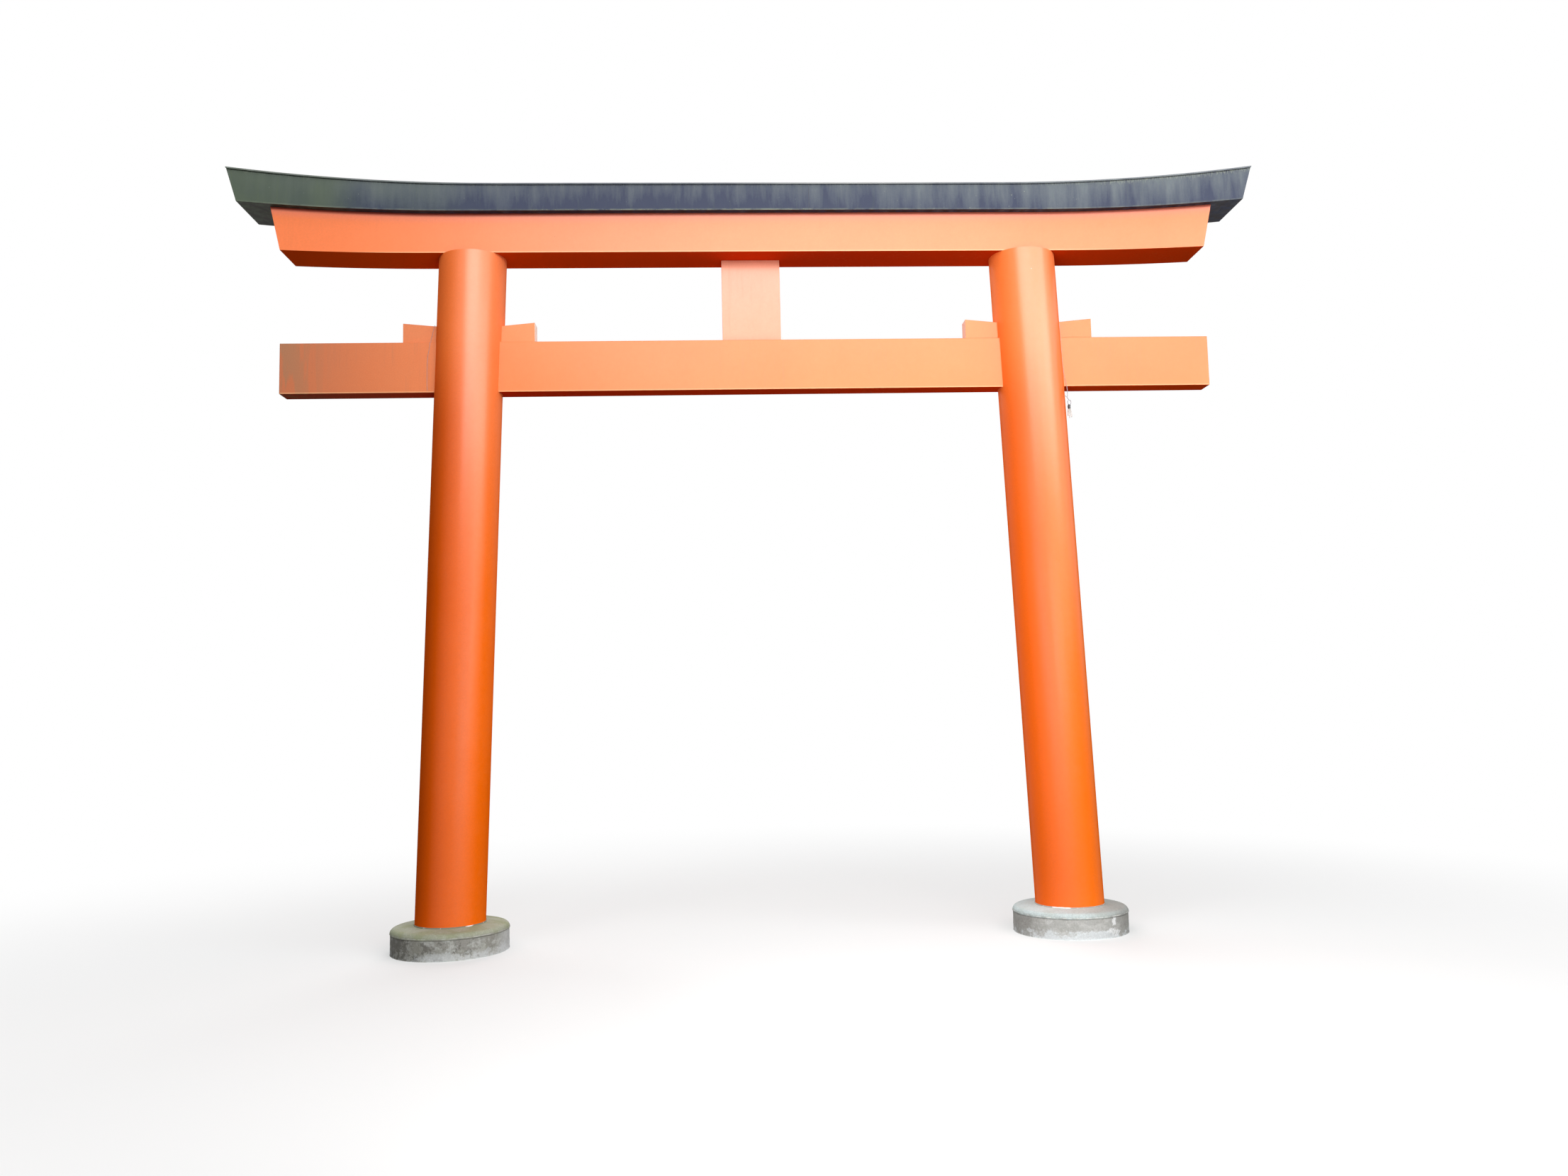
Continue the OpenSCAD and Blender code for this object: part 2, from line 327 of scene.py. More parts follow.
def sweep_recipe() -> Recipe:
    """A round bead or wire that follows a path of edges, a little uneven along its length.

    Returns:
        The tree.
    """
    r = Recipe("swept_bead")
    radius, uneven, lump, spacing = map(r.size, ("Radius", "Unevenness", "Lump", "Spacing"))
    sides, seed = r.size("Sides", "Int"), r.size("Seed", "Int")
    path = r.node("GeometryNodeMeshToCurve", {"Mesh": r.geometry})
    even = r.node("GeometryNodeResampleCurve", {"Curve": path, "Length": spacing},
                  mode="LENGTH")
    swell = (1.0 + uneven * r.noise(lump, seed)).at_least(0.25)
    thick = r.node("GeometryNodeSetCurveRadius", {"Curve": even, "Radius": swell})
    ring = r.node("GeometryNodeCurvePrimitiveCircle", {"Resolution": sides, "Radius": radius},
                  mode="RADIUS")
    tube = r.node("GeometryNodeCurveToMesh", {
        "Curve": thick, "Profile Curve": ring, "Scale": r.node("GeometryNodeInputRadius"),
        "Fill Caps": True})
    return r.end(r.node("GeometryNodeSetShadeSmooth", {"Geometry": tube,
                                                       "Shade Smooth": True}))


def weather_recipe() -> Recipe:
    """Wears a cast surface inwards above the ground, in broad hollows with a finer grain.

    Returns:
        The tree.
    """
    r = Recipe("weathered_casting")
    hollows, hollow_size, grain, grain_size, ground = map(
        r.size, ("Hollows", "Hollow size", "Grain", "Grain size", "Ground"))
    seed = r.size("Seed", "Int")
    height = r.node("ShaderNodeSeparateXYZ", {0: r.node("GeometryNodeInputPosition")}, "Z")
    depth = (hollows * (0.5 + 0.5 * r.noise(hollow_size, seed)).clamped()
             + grain * (0.5 + 0.5 * r.noise(grain_size, seed)).clamped())
    inwards = r.vector("SCALE", r.node("GeometryNodeInputNormal"),
                       Scale=0.0 - depth * r.math("GREATER_THAN", height, ground))
    return r.end(r.node("GeometryNodeSetPosition", {"Geometry": r.geometry,
                                                    "Offset": inwards}))


def tuft_recipe() -> Recipe:
    """Scatters small, rough, flattened tufts over a strip.

    Returns:
        The tree.
    """
    r = Recipe("moss_tufts")
    density, smallest, largest = map(r.size, ("Density", "Smallest", "Largest"))
    seed = r.size("Seed", "Int")
    points = r.node("GeometryNodeDistributePointsOnFaces", {
        "Mesh": r.geometry, "Density": density, "Seed": seed})
    ball = r.node("GeometryNodeMeshIcoSphere", {"Radius": 1.0, "Subdivisions": 2})
    size = r.node("FunctionNodeRandomValue", {2: smallest, 3: largest, "Seed": seed}, 1,
                  data_type="FLOAT")
    flat = r.node("ShaderNodeCombineXYZ", {0: size, 1: size * 0.8, 2: size * 0.45})
    tufts = r.node("GeometryNodeInstanceOnPoints", {
        "Points": points, "Instance": ball, "Rotation": points.out("Rotation"),
        "Scale": flat})
    bump = r.vector("SCALE", r.node("GeometryNodeInputNormal"),
                    Scale=r.noise(0.006, seed) * 0.0012)
    return r.end(r.node("GeometryNodeSetPosition", {
        "Geometry": r.node("GeometryNodeRealizeInstances", {0: tufts}), "Offset": bump}))


# Mesh work.


def placed(name: str, data: bpy.types.ID) -> Piece:
    """Adds an object to the scene.

    Args:
        name: its name.
        data: its mesh, lamp or camera.

    Returns:
        The object.
    """
    thing = bpy.data.objects.new(name, data)
    bpy.context.scene.collection.objects.link(thing)
    return thing


def new_piece(name: str, points: Sequence[Point], faces: Sequence[Sequence[int]] = (),
              edges: Sequence[tuple[int, int]] = ()) -> Piece:
    """Makes a piece at the origin from points in the frame.

    Args:
        name: the piece's name.
        points: its vertices.
        faces: its faces, as indices.
        edges: its loose edges, as indices.

    Returns:
        The piece.
    """
    mesh = bpy.data.meshes.new(name)
    mesh.from_pydata(points, edges, faces)
    mesh.update()
    return placed(name, mesh)


def settle(piece: Piece) -> None:
    """Turns what a piece's modifiers give into its own mesh, and removes them.

    Args:
        piece: the piece.
    """
    depsgraph = bpy.context.evaluated_depsgraph_get()
    plain = bpy.data.meshes.new_from_object(piece.evaluated_get(depsgraph), depsgraph=depsgraph)
    piece.modifiers.clear()
    piece.data = plain


def tidy(piece: Piece, flat_angle: float = 0.0) -> None:
    """Merges doubles, joins faces that lie in one plane and points the faces outwards.

    Args:
        piece: the piece to clean.
        flat_angle: the angle in degrees up to which neighbours are one plane, or 0 to keep all.
    """
    work = bmesh.new()
    work.from_mesh(piece.data)
    bmesh.ops.remove_doubles(work, verts=work.verts, dist=2e-5)
    if flat_angle:
        bmesh.ops.dissolve_limit(work, angle_limit=math.radians(flat_angle), verts=work.verts,
                                 edges=work.edges)
    bmesh.ops.recalc_face_normals(work, faces=work.faces)
    work.to_mesh(piece.data)
    work.free()


def smooth(piece: Piece, angle: float) -> None:
    """Shades a piece smooth, with its edges over an angle in degrees kept sharp."""
    piece.data.shade_smooth()
    piece.data.set_sharp_from_angle(angle=math.radians(angle))


def coat(piece: Piece, finish: Material) -> None:
    """Gives a piece one finish all over."""
    piece.data.materials.clear()
    piece.data.materials.append(finish)


def seat(piece: Piece, slot: str, *nodes: str) -> None:
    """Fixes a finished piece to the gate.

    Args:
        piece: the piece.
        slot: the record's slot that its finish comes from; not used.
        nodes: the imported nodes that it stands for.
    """
    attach(piece, "root")
    if nodes:
        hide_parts(*nodes)
    log.info("%s: %d faces", piece.name, len(piece.data.polygons))


def copy_of(node: str, form: str) -> Piece:
    """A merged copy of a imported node, to be worked further.

    Args:
        node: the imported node.
        form: what the copy's name adds to the node's.

    Returns:
        The copy.
    """
    piece = placed(f"{node}_{form}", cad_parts[node].data.copy())
    piece.data.materials.clear()
    tidy(piece, flat_angle=0.05)
    return piece


def oval(x: float, z: float, wide: float, deep: float, segments: int) -> list[Point]:
    """The points of a level oval across the gate's long axis, counter-clockwise from above."""
    turns = (math.tau * i / segments for i in range(segments))
    return [(x + wide * math.cos(a), deep * math.sin(a), z) for a in turns]


def skinned(name: str, rings: Sequence[Sequence[Point]], closed: bool = False) -> Piece:
    """Makes a piece whose skin joins rings of points.

    Args:
        name: the piece's name.
        rings: the rings, all with the same number of points.
        closed: whether the last ring joins the first. Otherwise both ends are capped.

    Returns:
        The piece.
    """
    count = len(rings[0])
    points = [p for ring in rings for p in ring]
    faces = []
    for k in range(len(rings) if closed else len(rings) - 1):
        a, b = k * count, ((k + 1) % len(rings)) * count
        faces += [[a + i, a + (i + 1) % count, b + (i + 1) % count, b + i] for i in range(count)]
    if not closed:
        last = (len(rings) - 1) * count
        faces += [list(range(count))[::-1], [last + i for i in range(count)]]
    piece = new_piece(name, points, faces)
    tidy(piece)
    return piece


# Finishes.


@dataclass(frozen=True)
class Upsweep:
    """A line that is level out to a point and then rises on an arc."""

    level: float
    flat: float
    radius: float

    def height(self, x: float) -> float:
        """The line's height at a distance from the middle."""
        past = max(abs(x) - self.flat, 0.0)
        return self.level + self.radius - math.sqrt(self.radius ** 2 - past ** 2)

    def above(self, s: Shader) -> Value:
        """How far the surface lies above the line, in a material."""
        past = (abs(s.x) - self.flat).at_least(0.0)
        return s.z - self.level - past * past * (0.5 / self.radius)


SOFFIT_LINE = Upsweep(level=7.592, flat=3.020, radius=24.0)
EAVE_LINE = Upsweep(level=7.885, flat=2.670, radius=21.0)


@dataclass(frozen=True)
class VermilionPaint:
    """Gloss vermilion enamel on steel, chalked where the weather reaches it, with painted shade,
    highlights and sky reflection.
    """

    name: str
    fresh: Colour = (0.92, 0.140, 0.005)
    side_shade: Colour = (0.56, 0.048, 0.002)
    chalk_and_sheen_colour: Colour = (0.98, 0.36, 0.13)
    shaded: Colour = (0.57, 0.030, 0.002)
    dust: Colour = (0.35, 0.24, 0.17)
    run_stain: Colour = (0.42, 0.20, 0.12)
    left_end_shade: Colour = (0.30, 0.114, 0.068)
    old_marks: Colour = (0.27, 0.19, 0.10)
    eave_shade_tint: Colour = (0.80, 0.22, 0.20)
    eave_shadow_line: Colour = (0.20, 0.022, 0.016)
    painted_highlight: Colour = (0.98, 0.56, 0.28)
    lightened: Colour = (0.97, 0.89, 0.82)
    speck: Colour = (0.16, 0.075, 0.045)
    droplet: Colour = (0.80, 0.62, 0.50)
    chalk_and_sheen: float = 0.05
    chalk_and_sheen_from: float = 2.0
    chalk_and_sheen_to: float = 7.2
    chalk_and_sheen_rise: float = 0.0
    gloss: float = 0.95
    faint_runs: float = 0.16
    run_marks: float = 0.0
    darkening: float = 0.0
    eave_shadow: bool = False
    less_chalk_and_sheen: Spans = ()
    highlight_arris: float | None = None
    end_reflection: bool = False
    shade_side: float = 0.0
    shade_side_chalk_cut: float = 0.0
    left_sheen: float = 1.0
    right_sheen: float = 1.0

    def material(self) -> Material:
        """Makes the paint.

        Returns:
            The material.
        """
        s = Shader(self.name, self.fresh)
        clouds = s.noise(0.9, detail=5.0, roughness=0.55)
        fine = s.noise(0.06, detail=4.0, roughness=0.6, shift=3.1)
        mottle = s.noise(0.013, detail=3.0, roughness=0.6, shift=6.9)
        grain = s.noise(0.004, shift=5.7)
        # The chalk coat is partly real chalking and partly painted sky reflection; its rise
        # towards the top is a painted highlight.
        height = s.z.between(self.chalk_and_sheen_from, self.chalk_and_sheen_to)
        chalk_and_sheen = (self.chalk_and_sheen + self.chalk_and_sheen_rise * height * height
                 + 0.16 * (clouds - 0.5) + 0.10 * (fine - 0.5)).clamped()
        # Less chalk on the front-left side: painted shade.
        if self.shade_side_chalk_cut:
            chalk_and_sheen = chalk_and_sheen * (1.0 - self.shade_side_chalk_cut * s.facing(SHADED_SIDE).between(0.20, 1.0))
        s.cover(chalk_and_sheen, self.chalk_and_sheen_colour)
        below = (0.0 - s.facing(UP)).between(0.60, 0.98)
        s.cover(below * 0.98, self.shaded)
        # The front-left side below the tie beam goes to a darker colour: painted shade.
        if self.shade_side:
            shade_side = s.facing(SHADED_SIDE).between(-0.45, 1.20) * s.z.between(6.4, 5.2)
            s.cover(shade_side * self.shade_side, self.side_shade)
        dust = (s.facing(UP).between(0.4, 0.9)
                * s.noise(0.15, detail=4.0, shift=8.2).between(0.35, 0.7))
        s.cover(dust * 0.45, self.dust)
        runs = s.noise(0.035, detail=4.0, roughness=0.65, stretch=(1, 1, 22), shift=1.9)
        broad = s.noise(0.5, shift=4.4).between(0.42, 0.62)
        faint = runs.between(0.52, 0.75) * broad * self.faint_runs
        s.cover(faint, self.run_stain)
        # Darker towards the gate's left end: painted shade.
        if self.darkening:
            shaded_end = s.x.between(-2.0, -5.4) * (0.8 + 0.4 * clouds) * self.darkening
            s.cover(shaded_end.clamped(), self.left_end_shade)
        # Along these X spans the paint goes back towards its fresh colour, taking away chalk and
        # painted sky reflection.
        for full_x, cut_x, share in self.less_chalk_and_sheen:
            s.cover(s.x.between(full_x, cut_x) * share, self.fresh)
        if self.run_marks:
            stains_and_shade = s.noise(0.075, detail=3.0, stretch=(1, 1, 9), shift=4.9)
            at_end = s.x.between(-4.3, -4.9)
            s.cover(stains_and_shade.between(0.46, 0.60) * at_end * self.run_marks, self.old_marks)
        # Under the eave: a reddish painted shade band and a dark painted shadow line along the top
        # of the face.
        if self.eave_shadow:
            depth = 0.0 - SOFFIT_LINE.above(s)
            s.cover(depth.between(0.13, 0.0) * 0.4, self.eave_shade_tint)
            line = depth.between(0.050, 0.008) * (0.75 + 0.25 * s.x.between(-1.0, -3.0))
            s.cover(line * 0.85, self.eave_shadow_line)
        # A pale line along one arris: painted highlight.
        if self.highlight_arris is not None:
            arris = s.z.near(self.highlight_arris + 0.006, 0.012) * (1.0 - below)
            s.cover(arris * 0.55, self.painted_highlight)
        # The inner wedge ends, strongest on those facing right: painted reflection.
        if self.end_reflection:
            end = (s.facing(RIGHTWARD).between(0.5, 0.9)
                   + s.facing(LEFTWARD).between(0.5, 0.9) * 0.56)
            inside = s.x.between(-3.4, -3.2) * s.x.between(3.4, 3.2)
            s.cover(end * inside * (0.92 - 0.5 * (fine - 0.5)), self.lightened)
        s.shade(0.86 + 0.08 * clouds + 0.20 * mottle)
        s.cover(s.spots(0.11, 0.0042, 0.22, shift=2.7) * 0.6, self.speck)
        s.cover(s.spots(0.34, 0.007, 0.20, stretch=(1, 1, 1.6), shift=6.3) * 0.7, self.droplet)
        dull = (below * 0.25 + dust * 0.3 + faint).clamped()
        grazing = s.node("ShaderNodeLayerWeight", {"Blend": 0.5}, "Facing")
        right = s.facing(RIGHTWARD).between(-0.15, 0.15) * s.z.between(1.2, 4.4)
        kept = self.left_sheen + (self.right_sheen - self.left_sheen) * right
        edge_sheen = ((1.0 - grazing.between(0.0, 0.32) * (1.0 - kept))
                      * grazing.between(0.85, 0.55))
        gloss = self.gloss * (1.0 - below) * (1.0 - 0.8 * dull) * edge_sheen
        rolled = s.relief(s.noise(0.012, detail=3.0, shift=9.5), 0.0003)
        steel = s.relief(s.noise(0.7, shift=7.7), 0.004, Normal=rolled)
        return s.surface(
            Roughness=0.42 + 0.10 * (clouds - 0.5) + 0.30 * dull + 0.05 * (grain - 0.5),
            Normal=s.relief(grain, 0.0001, Normal=steel), Specular_IOR_Level=0.0,
            Coat_Weight=gloss.clamped(), Coat_Roughness=0.30, Coat_IOR=1.5)


@dataclass(frozen=True)
class SlateSheet:
    """Slate-grey painted sheet, streaked by rain, with algae and lichen on its edges and a painted
    highlight on the roof lip.
    """

    name: str
    dark: Colour = (0.030, 0.039, 0.077)
    pale: Colour = (0.128, 0.150, 0.168)
    algae: Colour = (0.085, 0.115, 0.062)
    lichen: Colour = (0.36, 0.40, 0.30)
    drip_stain: Colour = (0.30, 0.33, 0.27)
    dot: Colour = (0.33, 0.37, 0.30)
    painted_highlight: Colour = (0.42, 0.43, 0.42)
    dirt: Colour = (0.030, 0.024, 0.022)
    edges: bool = True
    grime: float = 0.0
    lip_shine: float = 0.0
    sheen: float = 0.18

    def material(self) -> Material:
        """Makes the sheet's finish.

        Returns:
            The material.
        """
        s = Shader(self.name, self.dark)
        streaks = s.noise(0.12, detail=5.0, roughness=0.6, stretch=(1, 1, 6), shift=2.2)
        thin = s.noise(0.020, detail=3.0, roughness=0.6, stretch=(1, 1, 14), shift=6.1)
        clouds = s.noise(0.8, detail=4.0, shift=1.3)
        fine = s.noise(0.02, detail=4.0, roughness=0.65, shift=4.0)
        height = SOFFIT_LINE.above(s)
        share = (height / 0.30).clamped()
        lightened = s.x.between(0.3, 2.6) * 0.30 + s.x.between(-1.4, -3.4) * 0.18
        patchy = s.noise(0.22, detail=3.0, stretch=(1, 1, 3), shift=5.5).between(0.42, 0.60)
        even = s.x.between(-2.2, -3.4)
        wash = (-0.15 + lightened + 0.70 * share + (2.1 - 1.0 * even) * (streaks - 0.5)
                + (0.8 + 0.8 * even) * (clouds - 0.5)
                + (0.10 + 0.75 * patchy * share) * (1.0 - 0.8 * even) * (thin - 0.5)
                + 0.30 * (fine - 0.5))
        s.cover(wash.clamped(), self.pale)
        green = (s.x.between(-2.6, -3.6) * (0.25 + 1.2 * (clouds - 0.5))
                 + s.x.between(-3.9, -4.5) * 0.65 + thin.between(0.56, 0.7) * 0.12).clamped()
        s.cover(green * 0.75, self.algae)
        rough = 0.50 + 0.16 * (fine - 0.5) + 0.10 * (streaks - 0.5)
        if self.edges:
            below = 0.0 - EAVE_LINE.above(s)
            crust = s.noise(0.06, detail=6.0, roughness=0.7, stretch=(2, 1, 1), shift=3.9)
            mossy = s.x.near(-0.15, 2.4) * 0.6 + 0.4
            hem = height.between(0.024, 0.004) * crust.between(0.30, 0.66) * mossy
            s.cover(hem * 0.60, self.lichen)
            drip = s.noise(0.012, detail=4.0, roughness=0.7, stretch=(1, 1, 5), shift=9.1)
            reach = 0.4 + s.x.between(2.6, 4.2) * 0.6
            drips = (drip + 0.10 * reach - below * 2.4).between(0.50, 0.62) * reach
            s.cover(drips * below.between(0.09, 0.02) * 0.7, self.drip_stain)
            dots = s.spots(0.035, 0.0055, 0.30, stretch=(1, 1, 1.4), shift=5.2)
            s.cover(dots * (0.25 + s.x.near(2.7, 1.1) * 0.75) * 0.7, self.dot)
            rough = rough + 0.25 * hem
        # A paler front face on the roof lip: painted highlight.
        if self.lip_shine:
            highlight_reach = s.x.near(1.0, 1.6) * 0.75 + 0.25
            s.cover(s.facing(FRONT).between(0.7, 0.95) * highlight_reach * self.lip_shine, self.painted_highlight)
        if self.grime:
            patchy_dirt = s.noise(0.08, detail=5.0, shift=7.4).between(0.3, 0.7)
            s.cover(patchy_dirt * self.grime, self.dirt)
        buckle = s.relief(s.noise(0.35, stretch=(1, 1, 2), shift=8.8), 0.006)
        return s.surface(Roughness=rough.clamped(), Specular_IOR_Level=self.sheen,
                         Normal=s.relief(fine, 0.0004, Normal=buckle))


@dataclass(frozen=True)
class WeatheredConcrete:
    """Trowelled concrete with moss on top and white bloom near the ground, with painted light and
    shade.
    """

    name: str
    body: Colour = (0.42, 0.425, 0.405)
    pale: Colour = (0.60, 0.625, 0.625)
    damp_and_shade: Colour = (0.25, 0.245, 0.225)
    moss: Colour = (0.33, 0.345, 0.25)
    bloom: Colour = (0.70, 0.735, 0.75)
    darkening: Colour = (0.125, 0.12, 0.105)
    painted_highlight: Colour = (0.70, 0.70, 0.67)
    lime: Colour = (0.84, 0.85, 0.85)
    pit: Colour = (0.12, 0.115, 0.10)
    moss_share: float = 0.4
    bloom_share: float = 0.5
    bloom_rise: float = 0.22
    damp_share: float = 0.65
    clouding: float = 1.8
    rim_z: float = 0.213
    rim_shade: float = 0.6
    grime: float = 0.0
    arris: float = 0.0
    painted_light: float = 0.0
    stains_and_shade: Spans = ()
    washes: Spans = ()
    white_run: float | None = None

    def material(self) -> Material:
        """Makes the concrete.

        Returns:
            The material.
        """
        s = Shader(self.name, self.body)
        clouds = s.noise(0.22, detail=6.0, roughness=0.6, shift=1.2)
        patches = s.noise(0.07, detail=6.0, roughness=0.65, stretch=(1.2, 1.2, 1), shift=4.7)
        sand = s.noise(0.004, detail=3.0, roughness=0.7, shift=8.1)
        pits = s.spots(0.022, 0.0032, 0.35, shift=2.4)
        speckle = s.noise(0.016, detail=4.0, roughness=0.7, shift=7.3)
        # The offset added here lightens the right base's concrete and darkens the left's: painted
        # light.
        light = 0.5 + self.painted_light + self.clouding * (clouds - 0.5) + 0.5 * (speckle - 0.5)
        s.cover(light.clamped(), self.pale)
        wet = (patches + 0.25 * s.z.between(0.0, 0.10) - 0.12).between(0.50, 0.68)
        wall = s.facing(UP).between(0.5, 0.1)
        s.cover(wet * wall * self.damp_share, self.damp_and_shade)
        green = s.noise(0.16, detail=5.0, shift=6.6).between(0.40, 0.66)
        upper = s.facing(UP).between(-0.2, 0.6) * 0.65 + 0.35
        s.cover(green * upper * self.moss_share, self.moss)
        low = s.z.between(0.150, 0.02)
        # These X spans darken the colour and hold back the bloom; on the left drum's far side the
        # darkening is painted shade.
        for start_x, stained_and_shaded, share in self.stains_and_shade:
            reach = s.x.between(start_x, stained_and_shaded)
            s.cover(reach * (share + 0.8 * share * (patches - 0.5)), self.damp_and_shade)
            low = low * (1.0 - reach * share)
        # Dark grime patches, thickened towards the left drum's far side as painted shade.
        if self.grime:
            black = s.noise(0.075, detail=6.0, roughness=0.75, shift=9.4)
            shade_side = s.x.between(-2.70, -3.00) * 0.8 + 0.2
            black = (black + 0.10 * s.x.between(-3.1, -3.6)).between(0.53, 0.63) * shade_side
            s.cover(black * wall * self.grime, self.darkening)
        for plain, washed, share in self.washes:
            wash = s.x.between(plain, washed) * (share + 2.0 * share * (patches - 0.5))
            s.cover(wash.clamped(), self.bloom)
        white = (patches * 0.60 + clouds * 0.35 + low * self.bloom_rise
                 + 0.16 * (speckle - 0.5)).between(0.575, 0.690) * low.between(0.0, 0.5)
        s.cover(white * self.bloom_share, self.bloom)
        streak = s.noise(0.03, detail=4.0, stretch=(1, 1, 6), shift=3.3).between(0.68, 0.76)
        s.cover(streak * wall * 0.5 * self.bloom_share, self.bloom)
        # The rim's arris gets a painted highlight, and the band just below it painted shade.
        if self.arris:
            highlight_reach = s.noise(0.05, detail=4.0, shift=5.1).between(0.36, 0.62)
            wavy = s.z + 0.010 * (patches - 0.5)
            s.cover(wavy.near(self.rim_z, 0.007) * highlight_reach * self.arris, self.painted_highlight)
            broken = self.rim_shade * patches.between(0.40, 0.56)
            s.cover(wavy.between(self.rim_z - 0.005, self.rim_z - 0.010) * broken, self.damp_and_shade)
        if self.white_run is not None:
            front = s.facing(FRONT).between(0.2, 0.4)
            ragged = (s.x + 0.05 * (s.noise(0.05, detail=3.0, shift=1.1) - 0.5)
                      + 0.05 * (speckle - 0.5))
            run = (ragged.near(self.white_run, 0.024).between(0.05, 0.5)
                   * (s.z + 0.05 * speckle).between(0.140, 0.160) * front)
            zone = s.x.near(self.white_run + 0.01, 0.12) * s.z.near(0.060, 0.060)
            splash = (0.26 * zone + 0.6 * patches + 0.7 * speckle).between(0.74, 0.86) * front
            splash = splash * zone.between(0.02, 0.3)
            s.cover(run.at_least(splash * 0.75), self.lime)
        s.cover(pits * 0.6, self.pit)
        s.shade(0.52 + 0.36 * sand + 0.60 * speckle)
        holes = s.relief(1.0 - pits, 0.0015, Normal=s.relief(patches, 0.006))
        return s.surface(Roughness=0.90 - 0.12 * wet, Specular_IOR_Level=0.3,
                         Normal=s.relief(sand, 0.0011, Normal=holes))


@dataclass(frozen=True)
class WhiteMortar:
    """Pointing mortar, stained grey and darkened as painted shade, but for one white length at the
    front.
    """

    name: str
    white_from: float
    white_to: float
    stained_and_shaded: Colour = (0.36, 0.35, 0.31)
    fresh: Colour = (0.86, 0.86, 0.84)

    def material(self) -> Material:
        """Makes the mortar.

        Returns:
            The material.
        """
        s = Shader(self.name, self.stained_and_shaded)
        stain = s.noise(0.05, detail=4.0, shift=2.0)
        sand = s.noise(0.003, detail=3.0, roughness=0.7, shift=4.0)
        along = s.x + 0.06 * (stain - 0.5)
        white = (along.between(self.white_from - 0.02, self.white_from)
                 * along.between(self.white_to + 0.02, self.white_to)
                 * s.y.between(-0.18, -0.26)).at_least(stain.between(0.60, 0.70) * 0.6)
        s.cover(white, self.fresh)
        s.shade(0.9 + 0.2 * sand)
        return s.surface(Roughness=0.88, Normal=s.relief(sand, 0.0008))


@dataclass(frozen=True)
class PlainFinish:
    """A small part's finish: one colour clouded by a second, with a fine grain."""

    name: str
    colour: Colour
    cloud: Colour
    roughness: float
    metal: float = 0.0
    grain: float = 0.003
    depth: float = 0.0002

    def material(self) -> Material:
        """Makes the finish.

        Returns:
            The material.
        """
        s = Shader(self.name, self.colour)
        cloudy = s.noise(0.02, detail=5.0, roughness=0.6, shift=1.7).between(0.35, 0.65)
        grain = s.noise(self.grain, detail=3.0, roughness=0.6, shift=3.7)
        s.cover(cloudy, self.cloud)
        return s.surface(Roughness=self.roughness + 0.2 * (grain - 0.5), Metallic=self.metal,
                         Normal=s.relief(grain, self.depth))


